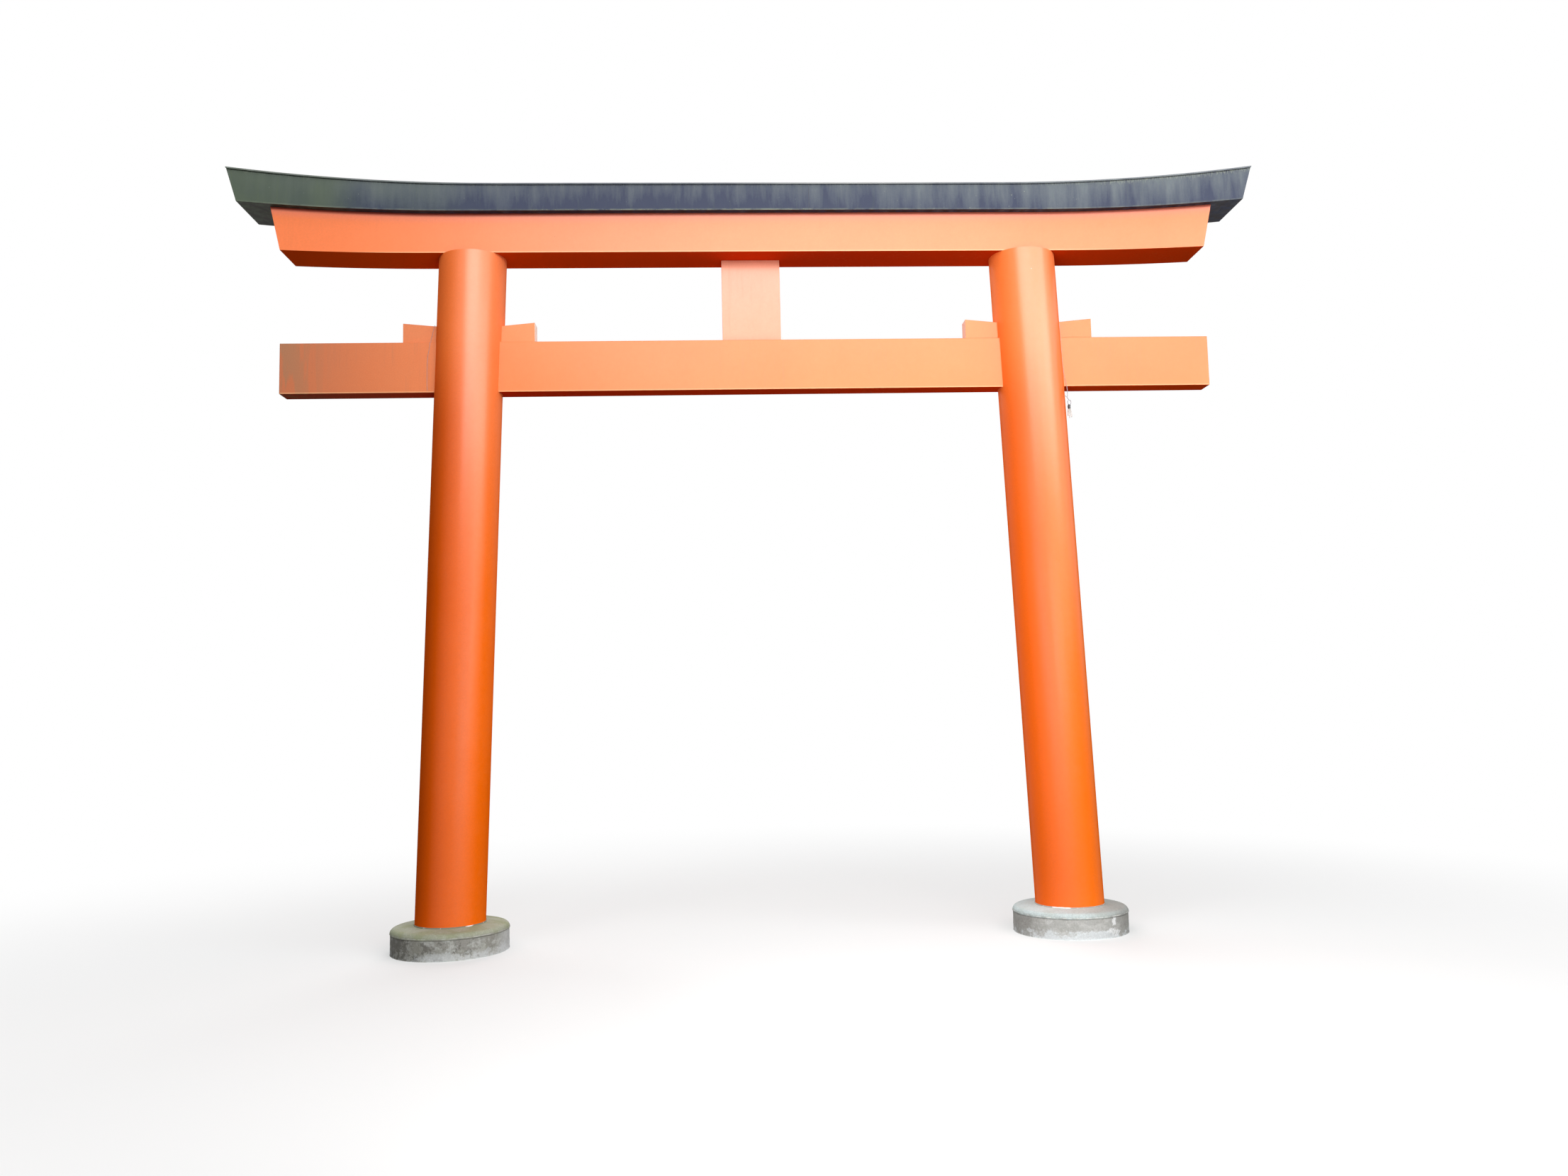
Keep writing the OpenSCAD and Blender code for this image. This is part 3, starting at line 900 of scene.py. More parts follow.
FINISHES = (
    VermilionPaint("left_pillar_paint", fresh=(0.92, 0.148, 0.004), chalk_and_sheen_colour=(0.98, 0.36, 0.19),
                   chalk_and_sheen=0.015, chalk_and_sheen_rise=0.40, faint_runs=0.04, gloss=0.92, shade_side=0.60,
                   shade_side_chalk_cut=0.55, left_sheen=0.0, right_sheen=0.25),
    # The right pillar's colours are lighter than the left's: painted light.
    VermilionPaint("right_pillar_paint", fresh=(0.97, 0.170, 0.003),
                   side_shade=(0.66, 0.052, 0.002), chalk_and_sheen_colour=(0.98, 0.34, 0.19), chalk_and_sheen=0.015,
                   chalk_and_sheen_rise=0.36, faint_runs=0.04, gloss=1.0, shade_side=0.46, shade_side_chalk_cut=0.40,
                   left_sheen=0.30, right_sheen=0.95),
    VermilionPaint("tie_beam_paint", chalk_and_sheen=0.45, run_marks=0.45, darkening=0.68, gloss=0.60,
                   less_chalk_and_sheen=((1.0, 4.5, 0.19),), highlight_arris=5.713),
    VermilionPaint("wedge_paint", chalk_and_sheen=0.52, darkening=0.68, gloss=0.60,
                   less_chalk_and_sheen=((1.8, 3.0, 0.33),), end_reflection=True),
    # The strut's strong, pinker chalk is mostly painted sky reflection.
    VermilionPaint("strut_paint", chalk_and_sheen_colour=(0.98, 0.405, 0.26), chalk_and_sheen=0.78, chalk_and_sheen_from=6.1,
                   chalk_and_sheen_to=7.0, chalk_and_sheen_rise=0.22, gloss=0.62),
    VermilionPaint("lintel_paint", chalk_and_sheen_colour=(0.98, 0.355, 0.16), chalk_and_sheen=0.54, gloss=0.66,
                   eave_shadow=True, less_chalk_and_sheen=((1.0, -4.5, 0.42), (0.8, 4.6, 0.18)),
                   highlight_arris=7.168),
    VermilionPaint("caulk_paint", chalk_and_sheen=0.75, gloss=0.3),
    SlateSheet("fascia_sheet"),
    SlateSheet("roof_sheet", edges=False, lip_shine=0.8),
    SlateSheet("soffit_sheet", edges=False, grime=0.8, sheen=0.04),
    PlainFinish("core_primer", (0.30, 0.20, 0.14), (0.22, 0.12, 0.08), roughness=0.7),
    WeatheredConcrete("left_drum_concrete", body=(0.405, 0.405, 0.365), damp_and_shade=(0.235, 0.23, 0.20),
                      moss_share=0.35, damp_share=0.75, painted_light=-0.1, clouding=1.2, grime=0.75,
                      stains_and_shade=((-3.1, -3.6, 0.55),), washes=((-2.68, -2.59, 0.50),)),
    WeatheredConcrete("right_drum_concrete", body=(0.40, 0.387, 0.355), pale=(0.56, 0.565, 0.55),
                      moss_share=0.08, bloom_share=0.90, bloom_rise=0.29, damp_share=0.34,
                      painted_light=0.40, stains_and_shade=((3.36, 3.66, 0.55), (2.82, 2.60, 0.60)),
                      white_run=3.474),
    WeatheredConcrete("left_shoulder_concrete", body=(0.280, 0.295, 0.215),
                      pale=(0.365, 0.38, 0.305), moss=(0.235, 0.26, 0.14), moss_share=0.65,
                      bloom_share=0.2, clouding=0.9, arris=0.4, rim_shade=0.2),
    WeatheredConcrete("right_shoulder_concrete", body=(0.36, 0.41, 0.395),
                      pale=(0.52, 0.60, 0.605), moss_share=0.15, bloom_share=0.2, clouding=1.2,
                      arris=0.8, painted_light=0.20, rim_shade=0.25, stains_and_shade=((3.05, 3.72, 0.80),)),
    WhiteMortar("left_foot_mortar", -2.95, -2.91, stained_and_shaded=(0.21, 0.215, 0.155)),
    WhiteMortar("right_foot_mortar", 2.94, 3.08),
    PlainFinish("moss", (0.16, 0.20, 0.085), (0.34, 0.38, 0.22), roughness=0.95, grain=0.001,
                depth=0.001),
    PlainFinish("wire_steel", (0.33, 0.33, 0.37), (0.22, 0.21, 0.23), roughness=0.45, metal=0.2),
    PlainFinish("black_ferrule", (0.018, 0.018, 0.018), (0.035, 0.033, 0.03), roughness=0.45),
    PlainFinish("pale_tails", (0.62, 0.60, 0.57), (0.50, 0.47, 0.43), roughness=0.6))


# Sub-assemblies.


class Side(Enum):
    """The two ends of the gate, as seen from the front."""

    LEFT = -1
    RIGHT = 1


class Way(Enum):
    """Whether something is on the outer or the inner side of a pillar."""

    INNER = -1
    OUTER = 1


class Workshop:
    """Every finish and recipe, made once, with the work that several sub-assemblies need."""

    def __init__(self) -> None:
        """Makes the finishes and the recipes."""
        self.finish = {finish.name: finish.material() for finish in FINISHES}
        self.sweep, self.weather, self.tufts = sweep_recipe(), weather_recipe(), tuft_recipe()

    def arrised(self, node: str, form: str, radius: float, finish: str,
                slot: str = "vermilion") -> None:
        """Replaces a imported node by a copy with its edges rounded.

        Args:
            node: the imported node.
            form: what the new piece's name adds to the node's.
            radius: the radius of the rounded edges.
            finish: the name of its finish.
            slot: the record's slot of that finish.
        """
        piece = copy_of(node, form)
        bevel = piece.modifiers.new("arris", "BEVEL")
        bevel.width = radius
        bevel.segments = 3
        bevel.limit_method = "ANGLE"
        bevel.angle_limit = math.radians(40.0)
        even = piece.modifiers.new("even", "WEIGHTED_NORMAL")
        even.weight = 100
        even.keep_sharp = False
        piece.data.shade_smooth()
        settle(piece)
        coat(piece, self.finish[finish])
        seat(piece, slot, node)

    def swept(self, name: str, path: Sequence[Point], finish: str, *nodes: str,
              slot: str = "vermilion", loop: bool = False, **sizes: float) -> None:
        """Sweeps a bead or wire along a path and fixes it.

        Args:
            name: the piece's name.
            path: the points that it follows.
            finish: the name of its finish.
            nodes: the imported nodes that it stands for.
            slot: the record's slot of that finish.
            loop: whether the path's last point joins its first.
            sizes: the recipe's sizes.
        """
        count = len(path)
        steps = range(count if loop else count - 1)
        piece = new_piece(name, path, edges=[(i, (i + 1) % count) for i in steps])
        self.sweep.apply(piece, self.finish[finish], **sizes)
        seat(piece, slot, *nodes)


@dataclass(frozen=True)
class PillarLine:
    """The leaning centre line of one pillar."""

    side: Side
    foot_x: float = 3.175
    base_top: float = 0.275
    lean: float = math.radians(1.87)
    radius: float = 0.350

    def name(self, what: str) -> str:
        """The name of something on this side of the gate."""
        return f"{self.side.name.lower()}_{what}"

    def x(self, z: float) -> float:
        """Where the centre line is at a height."""
        return self.side.value * (self.foot_x - (z - self.base_top) * math.tan(self.lean))

    def skin_x(self, y: float, z: float, way: Way) -> float:
        """Where the pillar's skin is at a depth and height, on one of its sides."""
        half = math.sqrt(max(self.radius ** 2 - y * y, 0.0)) / math.cos(self.lean)
        return self.x(z) + self.side.value * way.value * half

    def ring(self, z: float, radius: float, segments: int) -> list[Point]:
        """Points where a level plane cuts a round of a radius about the centre line."""
        return oval(self.x(z), z, radius / math.cos(self.lean), radius, segments)


@dataclass
class Pillar:
    """A steel pillar: a smooth leaning tube with the mortise for the tie beam and wedges."""

    shop: Workshop
    line: PillarLine
    foot_z: float = 0.125
    top_z: float = 7.168
    segments: int = 192
    ring_step: float = 0.22
    clearance: float = 0.001
    wedge_clearance: float = 0.0003
    beam_cut: float = 0.490
    wedge_cut: float = 0.455
    overlap: float = 0.005
    sharp: float = 30.0

    def dress(self) -> None:
        """Builds the tube, cuts its mortise, paints it and fixes it."""
        steps = round((self.top_z - self.foot_z) / self.ring_step)
        heights = [self.foot_z + (self.top_z - self.foot_z) * i / steps for i in range(steps + 1)]
        piece = skinned(self.line.name("pillar_tube"), [
            self.line.ring(z, self.line.radius, self.segments) for z in heights])
        cutters = self.cutters()
        for cutter in cutters:
            cut = piece.modifiers.new("mortise", "BOOLEAN")
            cut.operation = "DIFFERENCE"
            cut.solver = "EXACT"
            cut.object = cutter
        settle(piece)
        for cutter in cutters:
            bpy.data.objects.remove(cutter)
        smooth(piece, self.sharp)
        coat(piece, self.shop.finish[self.line.name("pillar_paint")])
        seat(piece, "vermilion", self.line.name("pillar"))

    def cutters(self) -> list[Piece]:
        """The solids that cut the mortise, which the wedges' notches sink a little into.

        Returns:
            The tie beam's hole and the wedges' notches.
        """
        beam_low, beam_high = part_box("tie_beam")
        middle = self.line.x((beam_low.z + beam_high.z) / 2.0)
        left, right = middle - self.beam_cut, middle + self.beam_cut
        beam = [(left, beam_low.z), (right, beam_low.z), (right, beam_high.z), (left, beam_high.z)]
        low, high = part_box(self.line.name("outer_wedge"))
        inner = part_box(self.line.name("inner_wedge"))
        ends = sorted((low.x, high.x, inner[0].x, inner[1].x), key=abs)
        centre = (ends[1] + ends[2]) / 2.0
        notch = high.z - abs(ends[3] - centre) * WEDGE_SLOPE + self.wedge_clearance
        side = notch + self.wedge_cut * WEDGE_SLOPE
        left, right, sunk = centre - self.wedge_cut, centre + self.wedge_cut, low.z - self.overlap
        wedges = [(left, sunk), (right, sunk), (right, side), (centre, notch), (left, side)]
        return [skinned(name, [[(x, y, z) for x, z in outline] for y in (-half, half)])
                for name, outline, half in (("beam_hole", beam, beam_high.y + self.clearance),
                                            ("wedge_hole", wedges, high.y + self.clearance))]


@dataclass
class RoundBase:
    """A round concrete base: a drum, a rounded shoulder and the mortar bead at the pillar."""

    shop: Workshop
    line: PillarLine
    seed: int
    foot_gap: float = 0.002
    rim_radius: float = 0.055
    rim_steps: int = 14
    rise: float = 0.018
    slope_steps: int = 24
    socket_edge: float = 0.03
    segments: int = 288
    wall_step: float = 0.006
    bead_radius: float = 0.0065
    ground: float = 0.001

    def ring(self, radius: float, z: float, lean: float = 0.0) -> list[Point]:
        """A ring on the base's axis, or moved by a share of the way to the pillar's line."""
        axis = self.line.side.value * self.line.foot_x
        return oval(axis + lean * (self.line.x(z) - axis), z, radius, radius, self.segments)

    def drum(self) -> list[list[Point]]:
        """The drum's rings: up the wall, then into the socket for the pillar's foot.

        Returns:
            The rings.
        """
        low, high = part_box(self.line.name("base_drum"))
        outer, steps = (high.x - low.x) / 2.0, round((high.z - low.z) / self.wall_step)
        wall = [self.ring(outer, low.z + (high.z - low.z) * i / steps) for i in range(steps + 1)]
        return wall + self.socket(high.z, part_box(self.line.name("pillar"))[0].z)

    def shoulder(self) -> list[list[Point]]:
        """The shoulder's rings: a quarter-round rim, a gentle slope up, and the socket.

        Returns:
            The rings.
        """
        low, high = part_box(self.line.name("base_shoulder"))
        rim, hole = (high.x - low.x) / 2.0 - self.rim_radius, self.line.radius + self.foot_gap
        turns = (math.pi / 2.0 * i / self.rim_steps for i in range(self.rim_steps + 1))
        rings = [self.ring(rim + self.rim_radius * math.cos(a),
                           low.z + self.rim_radius * math.sin(a)) for a in turns]
        for share in (i / self.slope_steps for i in range(1, self.slope_steps + 1)):
            rings.append(self.ring(rim + (hole - rim) * share,
                                   low.z + self.rim_radius + self.rise * share, share))
        return rings + self.socket(low.z + self.socket_edge, low.z)

    def socket(self, *heights: float) -> list[list[Point]]:
        """The rings of the socket that the pillar's foot stands in."""
        return [self.ring(self.line.radius + self.foot_gap, z, 1.0) for z in heights]

    def cast(self, part: str, piece: Piece, sharp: float, **sizes: float) -> None:
        """Wears one part of the base and fixes it.

        Args:
            part: the part, drum or shoulder.
            piece: the piece.
            sharp: the angle in degrees from which its edges stay sharp.
            sizes: the recipe's sizes.
        """
        finish = self.shop.finish[self.line.name(part + "_concrete")]
        self.shop.weather.apply(piece, finish, Ground=self.ground, **sizes)
        smooth(piece, sharp)
        seat(piece, "concrete", self.line.name("base_" + part))

    def dress(self) -> None:
        """Builds, wears and fixes the base."""
        self.cast("drum", skinned(self.line.name("drum_casting"), self.drum()), sharp=40.0,
                  Hollows=0.0045, Hollow_size=0.09, Grain=0.0016, Grain_size=0.012,
                  Seed=self.seed)
        self.cast("shoulder", skinned(self.line.name("shoulder_casting"), self.shoulder(),
                                      closed=True), sharp=50.0,
                  Hollows=0.0022, Hollow_size=0.11, Grain=0.0010, Grain_size=0.014,
                  Seed=self.seed + 3)
        path = self.line.ring(self.line.base_top + self.ground,
                              self.line.radius + 0.55 * self.bead_radius, self.segments)
        self.shop.swept(self.line.name("mortar_bead"), path, self.line.name("foot_mortar"),
                        self.line.name("foot_mortar"), slot="mortar", loop=True,
                        Radius=self.bead_radius, Unevenness=0.28, Lump=0.05, Spacing=0.008,
                        Sides=12, Seed=self.seed)


@dataclass
class TieBeam:
    """The tie beam with its four wedges, and the caulk where they meet the pillars."""

    shop: Workshop
    lines: Sequence[PillarLine]
    arris: float = 0.006
    wedge_arris: float = 0.003
    caulk_radius: float = 0.0035
    corner_steps: int = 10
    first_seed: int = 11

    def outline(self, line: PillarLine, way: Way, wedge: str) -> list[Point]:
        """The closed line where the beam and one wedge enter a pillar.

        Args:
            line: the pillar's centre line.
            way: the side of the pillar.
            wedge: the wedge's node.

        Returns:
            The points, on the pillar's skin.
        """
        beam_low, beam_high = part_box("tie_beam")
        low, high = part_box(wedge)
        end = max((low.x, high.x), key=lambda x: abs(x - line.x(low.z)))
        top = high.z - abs(end - line.skin_x(high.y, high.z, way)) * WEDGE_SLOPE
        back = [(beam_high.y, beam_low.z), (beam_high.y, beam_high.z), (high.y, beam_high.z),
                (high.y, top)]
        stops = [(-y, z) for y, z in back] + back[::-1]
        path: list[Point] = []
        for (y0, z0), (y1, z1) in zip(stops, stops[1:] + stops[:1]):
            for share in (i / self.corner_steps for i in range(self.corner_steps)):
                y, z = y0 + (y1 - y0) * share, z0 + (z1 - z0) * share
                path.append((line.skin_x(y, z, way), y, z))
        return path

    def dress(self) -> None:
        """Builds, paints and fixes the beam, wedges and caulk."""
        self.shop.arrised("tie_beam", "box", self.arris, "tie_beam_paint")
        joints = [(line, way) for line in self.lines for way in Way]
        for seed, (line, way) in enumerate(joints, start=self.first_seed):
            wedge = line.name(way.name.lower() + "_wedge")
            self.shop.arrised(wedge, "block", self.wedge_arris, "wedge_paint")
            self.shop.swept(wedge + "_caulk", self.outline(line, way, wedge), "caulk_paint",
                            loop=True, Radius=self.caulk_radius, Unevenness=0.3, Lump=0.06,
                            Spacing=0.012, Sides=8, Seed=seed)


@dataclass
class Lintels:
    """The centre strut and the lower lintel."""

    shop: Workshop
    strut_arris: float = 0.004
    lintel_arris: float = 0.007

    def dress(self) -> None:
        """Builds, paints and fixes the strut and the lower lintel."""
        self.shop.arrised("centre_strut", "plate", self.strut_arris, "strut_paint")
        self.shop.arrised("lower_lintel", "box", self.lintel_arris, "lintel_paint")


@dataclass
class Cladding:
    """The sheet metal on the top lintel, with the moss that grows along its hem."""

    shop: Workshop
    sheet_arris: float = 0.0009
    hem_y: float = -0.317
    hem_low: float = 0.001
    hem_high: float = 0.010
    moss_from: float = -2.3
    moss_to: float = 0.60
    steps: int = 24

    def dress(self) -> None:
        """Builds, finishes and fixes the cladding and its moss."""
        for node in ("front_fascia_left", "front_fascia_right", "back_fascia_left",
                     "back_fascia_right"):
            self.shop.arrised(node, "sheet", self.sheet_arris, "fascia_sheet", "cladding")
        for node in ("front_roof_sheet", "back_roof_sheet", "ridge_cap"):
            piece = copy_of(node, "metal")
            smooth(piece, 8.0)
            coat(piece, self.shop.finish["roof_sheet"])
            seat(piece, "cladding", node)
        for finish, nodes in (
                ("fascia_sheet", ("left_end_plate", "right_end_plate")),
                ("soffit_sheet", ("front_soffit", "back_soffit", "left_soffit", "right_soffit")),
                ("core_primer", ("top_lintel_core_left", "top_lintel_core_middle",
                                 "top_lintel_core_right"))):
            for node in nodes:
                coat(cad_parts[node], self.shop.finish[finish])
                log.info("%s: finished", node)
        self.moss()

    def moss(self) -> None:
        """Grows the tufts on a narrow strip along the fascia's hem."""
        xs = [self.moss_from + (self.moss_to - self.moss_from) * i / self.steps
              for i in range(self.steps + 1)]
        points = [(x, self.hem_y, SOFFIT_LINE.height(x) + up) for x in xs
                  for up in (self.hem_low, self.hem_high)]
        faces = [[2 * i, 2 * i + 2, 2 * i + 3, 2 * i + 1] for i in range(self.steps)]
        piece = new_piece("hem_moss", points, faces)
        self.shop.tufts.apply(piece, self.shop.finish["moss"], Density=6500.0,
                              Smallest=0.0012, Largest=0.0030, Seed=5)
        seat(piece, "cladding")


@dataclass
class HungWire:
    """A thin steel wire lashed over a wedge and down the face of the tie beam."""

    shop: Workshop
    line: PillarLine
    on_wedge: Outline
    on_beam: Outline
    radius: float = 0.0018
    tuck: float = 0.01
    seed: int = 31

    def dress(self) -> None:
        """Builds and fixes the wire: up behind the wedge, over it and down the front."""
        wedge_low, wedge_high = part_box(self.line.name("outer_wedge"))
        beam_low, beam_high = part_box("tie_beam")
        off = self.radius
        x, top = self.on_wedge[0]
        front, ledge = wedge_low.y - off, beam_high.z + off
        path = [(x, wedge_high.y + off, beam_high.z + self.tuck),
                (x, wedge_high.y + off, top + off), (x, front, top + off)]
        path += [(x, front, z) for x, z in self.on_wedge[1:]]
        path += [(path[-1][0], front, ledge), (self.on_beam[0][0], beam_low.y - off, ledge)]
        path += [(x, beam_low.y - off, z) for x, z in self.on_beam]
        self.shop.swept(self.line.name("lashing_wire"), path, "wire_steel", Radius=off,
                        Unevenness=0.04, Lump=0.03, Spacing=0.012, Sides=8, Seed=self.seed)


@dataclass
class WireHook:
    """The steel hook that a lashing wire ends in, with its eye, ferrule and pale tails."""

    shop: Workshop
    wire: HungWire
    end_z: float = 5.602
    eye_drop: float = 0.016
    eye_centre: tuple[float, float] = (0.020, 0.050)
    eye_half: tuple[float, float] = (0.018, 0.025)
    eye_start: float = 100.0
    eye_turn: float = 330.0
    eye_steps: int = 14
    shank: Outline = ((0.0, 0.004), (0.004, -0.07))
    tip: Outline = ((-0.022, 0.006), (-0.004, -0.010))
    ferrule: Outline = ((0.018, -0.078), (0.014, -0.094), (0.016, -0.118))
    tails: Outline = ((-0.013, 0.195), (0.000, 0.215), (0.017, 0.210))

    def dress(self) -> None:
        """Builds and fixes the hook. Its parts are given by offsets in X and Z."""
        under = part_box("tie_beam")[0]
        x, y = self.wire.on_beam[-1][0], under.y - self.wire.radius
        low = self.end_z - self.eye_drop
        shank = [(x + dx, y, under.z + dz) for dx, dz in self.shank]
        tip = [(x + dx, y, self.end_z + dz) for dx, dz in self.tip]
        turns = [math.radians(self.eye_start - self.eye_turn * i / self.eye_steps)
                 for i in range(self.eye_steps + 1)]
        eye = [(x + self.eye_centre[0] + self.eye_half[0] * math.cos(a), y,
                low - self.eye_centre[1] + self.eye_half[1] * math.sin(a)) for a in turns]
        hook = shank + [(x + 0.002, y, self.end_z), tip[1]] + eye
        self.strand("hook", hook, 0.0034, "wire_steel")
        self.strand("hook_tip", tip, 0.0030, "wire_steel")
        self.strand("ferrule", [(x + dx, y, low + dz) for dx, dz in self.ferrule], 0.0150,
                    "black_ferrule")
        for letter, (side, drop) in zip("abc", self.tails):
            tail = [(x + 0.014 + 0.5 * side, y, low - 0.110),
                    (x + 0.016 + side, y + 0.003, low - 0.150),
                    (x + 0.018 + 1.2 * side, y + 0.002, low - drop)]
            self.strand("tail_" + letter, tail, 0.0062, "pale_tails")

    def strand(self, name: str, path: Sequence[Point], radius: float, finish: str) -> None:
        """Sweeps one small part of the hook along its path and fixes it."""
        self.shop.swept(self.wire.line.name(name), path, finish, Radius=radius, Unevenness=0.08,
                        Lump=0.012, Spacing=0.004, Sides=10, Seed=self.wire.seed)


# Studio.


@dataclass(frozen=True)
class Viewpoint:
    """The camera, at the photograph's place and angle."""

    place: Point = (-0.376, -12.757, 2.424)
    yaw: float = math.radians(2.95)
    pitch: float = math.radians(5.30)
    roll: float = math.radians(-1.33)
    lens: float = 28.01
    sensor: float = 36.0
    sight: float = 400.0

    def set_up(self) -> None:
        """Makes the camera and gives it to the scene."""
        ahead = Vector((math.sin(self.yaw) * math.cos(self.pitch),
                        math.cos(self.yaw) * math.cos(self.pitch), math.sin(self.pitch)))
        level = Vector((math.cos(self.yaw), -math.sin(self.yaw), 0.0))
        up = level.cross(ahead)
        right = math.cos(self.roll) * level + math.sin(self.roll) * up
        top = math.cos(self.roll) * up - math.sin(self.roll) * level
        data = bpy.data.cameras.new("photo_camera")
        data.lens, data.sensor_width, data.sensor_fit = self.lens, self.sensor, "HORIZONTAL"
        data.clip_end = self.sight
        camera = placed("photo_camera", data)
        turn = Matrix((right, top, -ahead)).transposed().to_4x4()
        camera.matrix_world = Matrix.Translation(self.place) @ turn
        bpy.context.scene.camera = camera


class Rays(Enum):
    """Where a lamp shows: in gloss, and on matt surfaces."""

    ALL = (True, True)
    GLOSS = (True, False)
    MATT = (False, True)


@dataclass(frozen=True)
class Softbox:
    """A large soft lamp that faces a point."""

    name: str
    place: Point
    target: Point
    width: float
    height: float
    radiance: float
    rays: Rays = Rays.ALL
    colour: Colour = WHITE

    def set_up(self) -> None:
        """Makes the lamp."""
        data = bpy.data.lights.new(self.name, "AREA")
        data.shape, data.size, data.size_y = "RECTANGLE", self.width, self.height
        data.energy = self.radiance * math.pi * self.width * self.height
        data.color = self.colour
        lamp = placed(self.name, data)
        aim = Vector(self.target) - Vector(self.place)
        lamp.matrix_world = (Matrix.Translation(self.place)
                             @ aim.to_track_quat("-Z", "Y").to_matrix().to_4x4())
        lamp.visible_camera = False
        lamp.visible_glossy, lamp.visible_diffuse = self.rays.value


LAMPS = (
    Softbox("key", (2.3, -13.6, 10.0), (0.3, 0.0, 6.0), 12.0, 4.5, 6.2, colour=DAYLIGHT),
    Softbox("side_key", (10.2, -8.6, 10.0), (0.0, 0.0, 6.0), 10.5, 4.5, 4.6, colour=DAYLIGHT),
    Softbox("side_sheen", (10.2, -8.6, 9.0), (0.0, 0.0, 5.0), 9.0, 5.0, 3.2, Rays.GLOSS),
    Softbox("top_sheen", (0.1, -13.6, 12.7), (-0.3, 0.0, 6.8), 12.6, 4.0, 7.0, Rays.GLOSS),
    Softbox("low_sheen", (11.0, -12.5, 4.2), (3.0, 0.0, 3.5), 5.0, 4.0, 0.9, Rays.GLOSS),
    Softbox("right_sheen", (8.3, -3.9, 5.8), (3.3, -0.35, 5.3), 3.5, 5.6, 2.0, Rays.GLOSS),
    Softbox("rim_sheen", (9.2, -1.0, 6.4), (3.3, -0.1, 5.4), 2.8, 4.6, 1.5, Rays.GLOSS),
    Softbox("near_sheen", (4.6, -5.4, 3.4), (3.3, -0.35, 3.2), 3.6, 2.4, 2.6, Rays.GLOSS),
    Softbox("left_sky", (-8.5, -9.0, 11.5), (-2.0, 0.0, 6.5), 5.0, 4.0, 3.8, Rays.MATT),
    Softbox("inner_fill", (-0.4, -5.0, 4.0), (3.1, -4.0, 4.0), 3.0, 4.0, 3.2, Rays.MATT),
    Softbox("front_fill", (1.8, -7.0, 2.4), (2.2, 0.0, 1.8), 6.0, 3.5, 3.4, Rays.MATT, DAYLIGHT),
    Softbox("overhead", (2.0, -4.0, 17.0), (0.0, 0.0, 5.0), 16.0, 8.0, 2.0),
    Softbox("back", (-2.0, 14.0, 12.0), (0.0, 0.0, 4.5), 14.0, 8.0, 4.4, Rays.MATT),
    Softbox("left_back", (-10.5, 8.5, 8.0), (-3.2, 0.0, 4.5), 7.0, 6.0, 3.6, Rays.MATT))


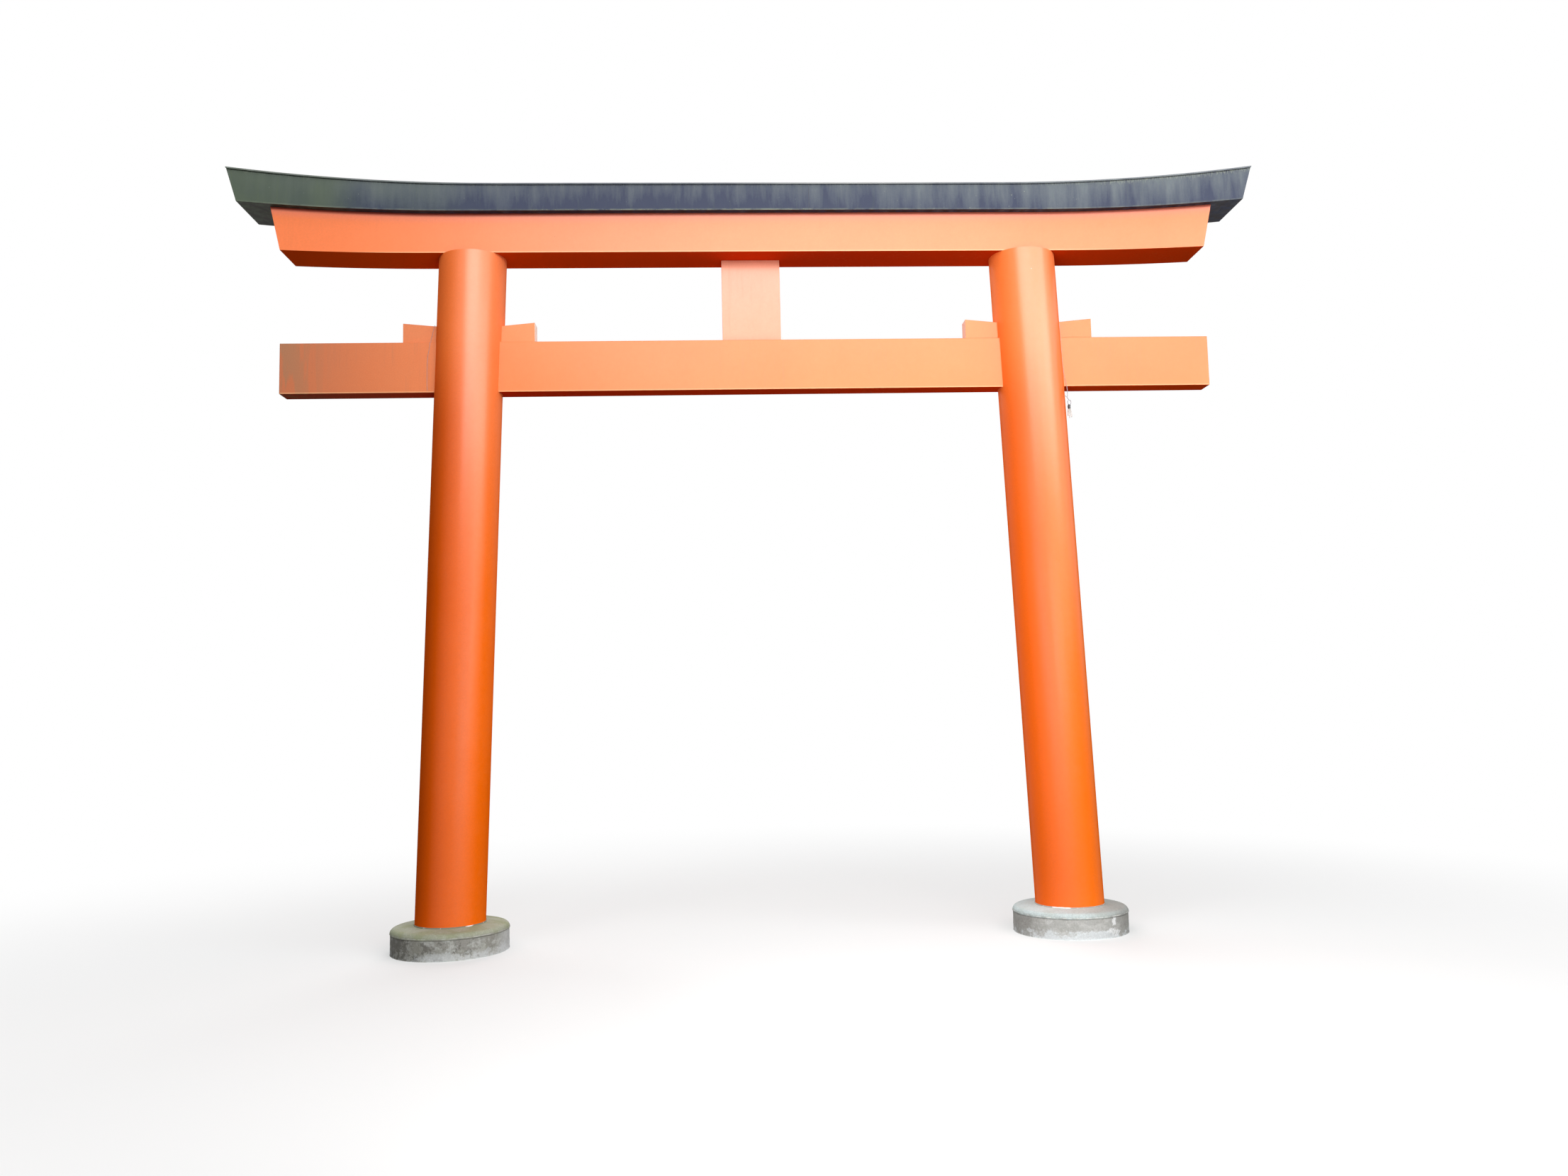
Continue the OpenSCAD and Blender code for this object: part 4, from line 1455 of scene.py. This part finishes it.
@dataclass(frozen=True)
class Studio:
    """The plain pale room: floor, surrounding light and softboxes."""

    floor_radius: float = 60.0
    floor_sides: int = 96
    fade_from: float = 3.5
    fade_to: float = 12.0
    floor_colour: Colour = (0.75, 0.75, 0.745)
    floor_glow: float = 0.35
    surround: Colour = (0.17, 0.18, 0.19)
    bounce: Colour = (0.145, 0.135, 0.125)

    def set_up(self) -> None:
        """Makes the floor, the world and the lamps."""
        self.floor()
        self.world()
        for lamp in LAMPS:
            lamp.set_up()

    @staticmethod
    def shown(graph: Graph, real: Value, seen: Value) -> Value:
        """Mixes what lights the gate with what rays that show the background itself see.

        Args:
            graph: the tree.
            real: the shader for all other rays.
            seen: the shader for the camera's rays and those in gloss and glass.

        Returns:
            The mixed shader.
        """
        camera = graph.node("ShaderNodeLightPath", out="Is Camera Ray")
        shows = camera.at_least(camera.out("Is Glossy Ray"))
        shows = shows.at_least(camera.out("Is Transmission Ray"))
        return graph.node("ShaderNodeMixShader", {0: shows, 1: real, 2: seen})

    def floor(self) -> None:
        """Makes the floor, which fades to white away from the gate."""
        rim = oval(0.0, 0.0, self.floor_radius, self.floor_radius, self.floor_sides)
        floor = new_piece("floor", rim, [range(len(rim))])
        s = Shader("pale_floor")
        far = s.vector("LENGTH", s.place, out="Value").between(self.fade_from, self.fade_to)
        near = s.node("ShaderNodeBsdfDiffuse", {"Color": self.floor_colour})
        white = s.node("ShaderNodeEmission", {"Color": WHITE, "Strength": 1.0})
        glow = self.floor_glow + (1.0 - self.floor_glow) * far
        pale = s.node("ShaderNodeMixShader", {0: glow, 1: near, 2: white})
        dim = s.node("ShaderNodeBsdfDiffuse", {"Color": self.bounce})
        s.node("ShaderNodeOutputMaterial", {"Surface": self.shown(s, dim, pale)})
        floor.data.materials.append(s.material)

    def world(self) -> None:
        """Makes the surrounding light: soft for the object, white where it is seen."""
        world = bpy.data.worlds.new("studio")
        world.use_nodes = True
        g = Graph(world.node_tree)
        g.tree.nodes.clear()
        soft = g.node("ShaderNodeBackground", {"Color": self.surround, "Strength": 1.0})
        white = g.node("ShaderNodeBackground", {"Color": WHITE, "Strength": 1.0})
        g.node("ShaderNodeOutputWorld", {"Surface": self.shown(g, soft, white)})
        bpy.context.scene.world = world


# The whole gate. The wires' paths are given in X and Z, from the top down.


LEFT_WIRE_ON_WEDGE = ((-3.332, 6.436), (-3.349, 6.373), (-3.353, 6.343), (-3.371, 6.288))
LEFT_WIRE_ON_BEAM = ((-3.375, 6.225), (-3.386, 6.155), (-3.397, 6.093), (-3.402, 6.032),
                     (-3.404, 5.955), (-3.404, 5.801), (-3.399, 5.731))
RIGHT_WIRE_ON_WEDGE = ((3.316, 6.413), (3.319, 6.343), (3.321, 6.280))
RIGHT_WIRE_ON_BEAM = ((3.314, 6.245), (3.316, 6.166), (3.320, 5.997), (3.332, 5.846),
                      (3.350, 5.745), (3.357, 5.716))


def main() -> None:
    """Builds the studio and every part of the gate, in order."""
    logging.basicConfig(level=logging.INFO, format="%(name)s %(message)s")
    bpy.context.scene.view_settings.view_transform = "Standard"
    Viewpoint().set_up()
    Studio().set_up()
    shop = Workshop()
    left, right = lines = [PillarLine(side) for side in Side]
    for seed, line in enumerate(lines, start=1):
        RoundBase(shop, line, seed).dress()
        Pillar(shop, line).dress()
    TieBeam(shop, lines).dress()
    Lintels(shop).dress()
    Cladding(shop).dress()
    HungWire(shop, left, LEFT_WIRE_ON_WEDGE, LEFT_WIRE_ON_BEAM).dress()
    hooked = HungWire(shop, right, RIGHT_WIRE_ON_WEDGE, RIGHT_WIRE_ON_BEAM)
    hooked.dress()
    WireHook(shop, hooked).dress()


if __name__ == "__main__":
    main()
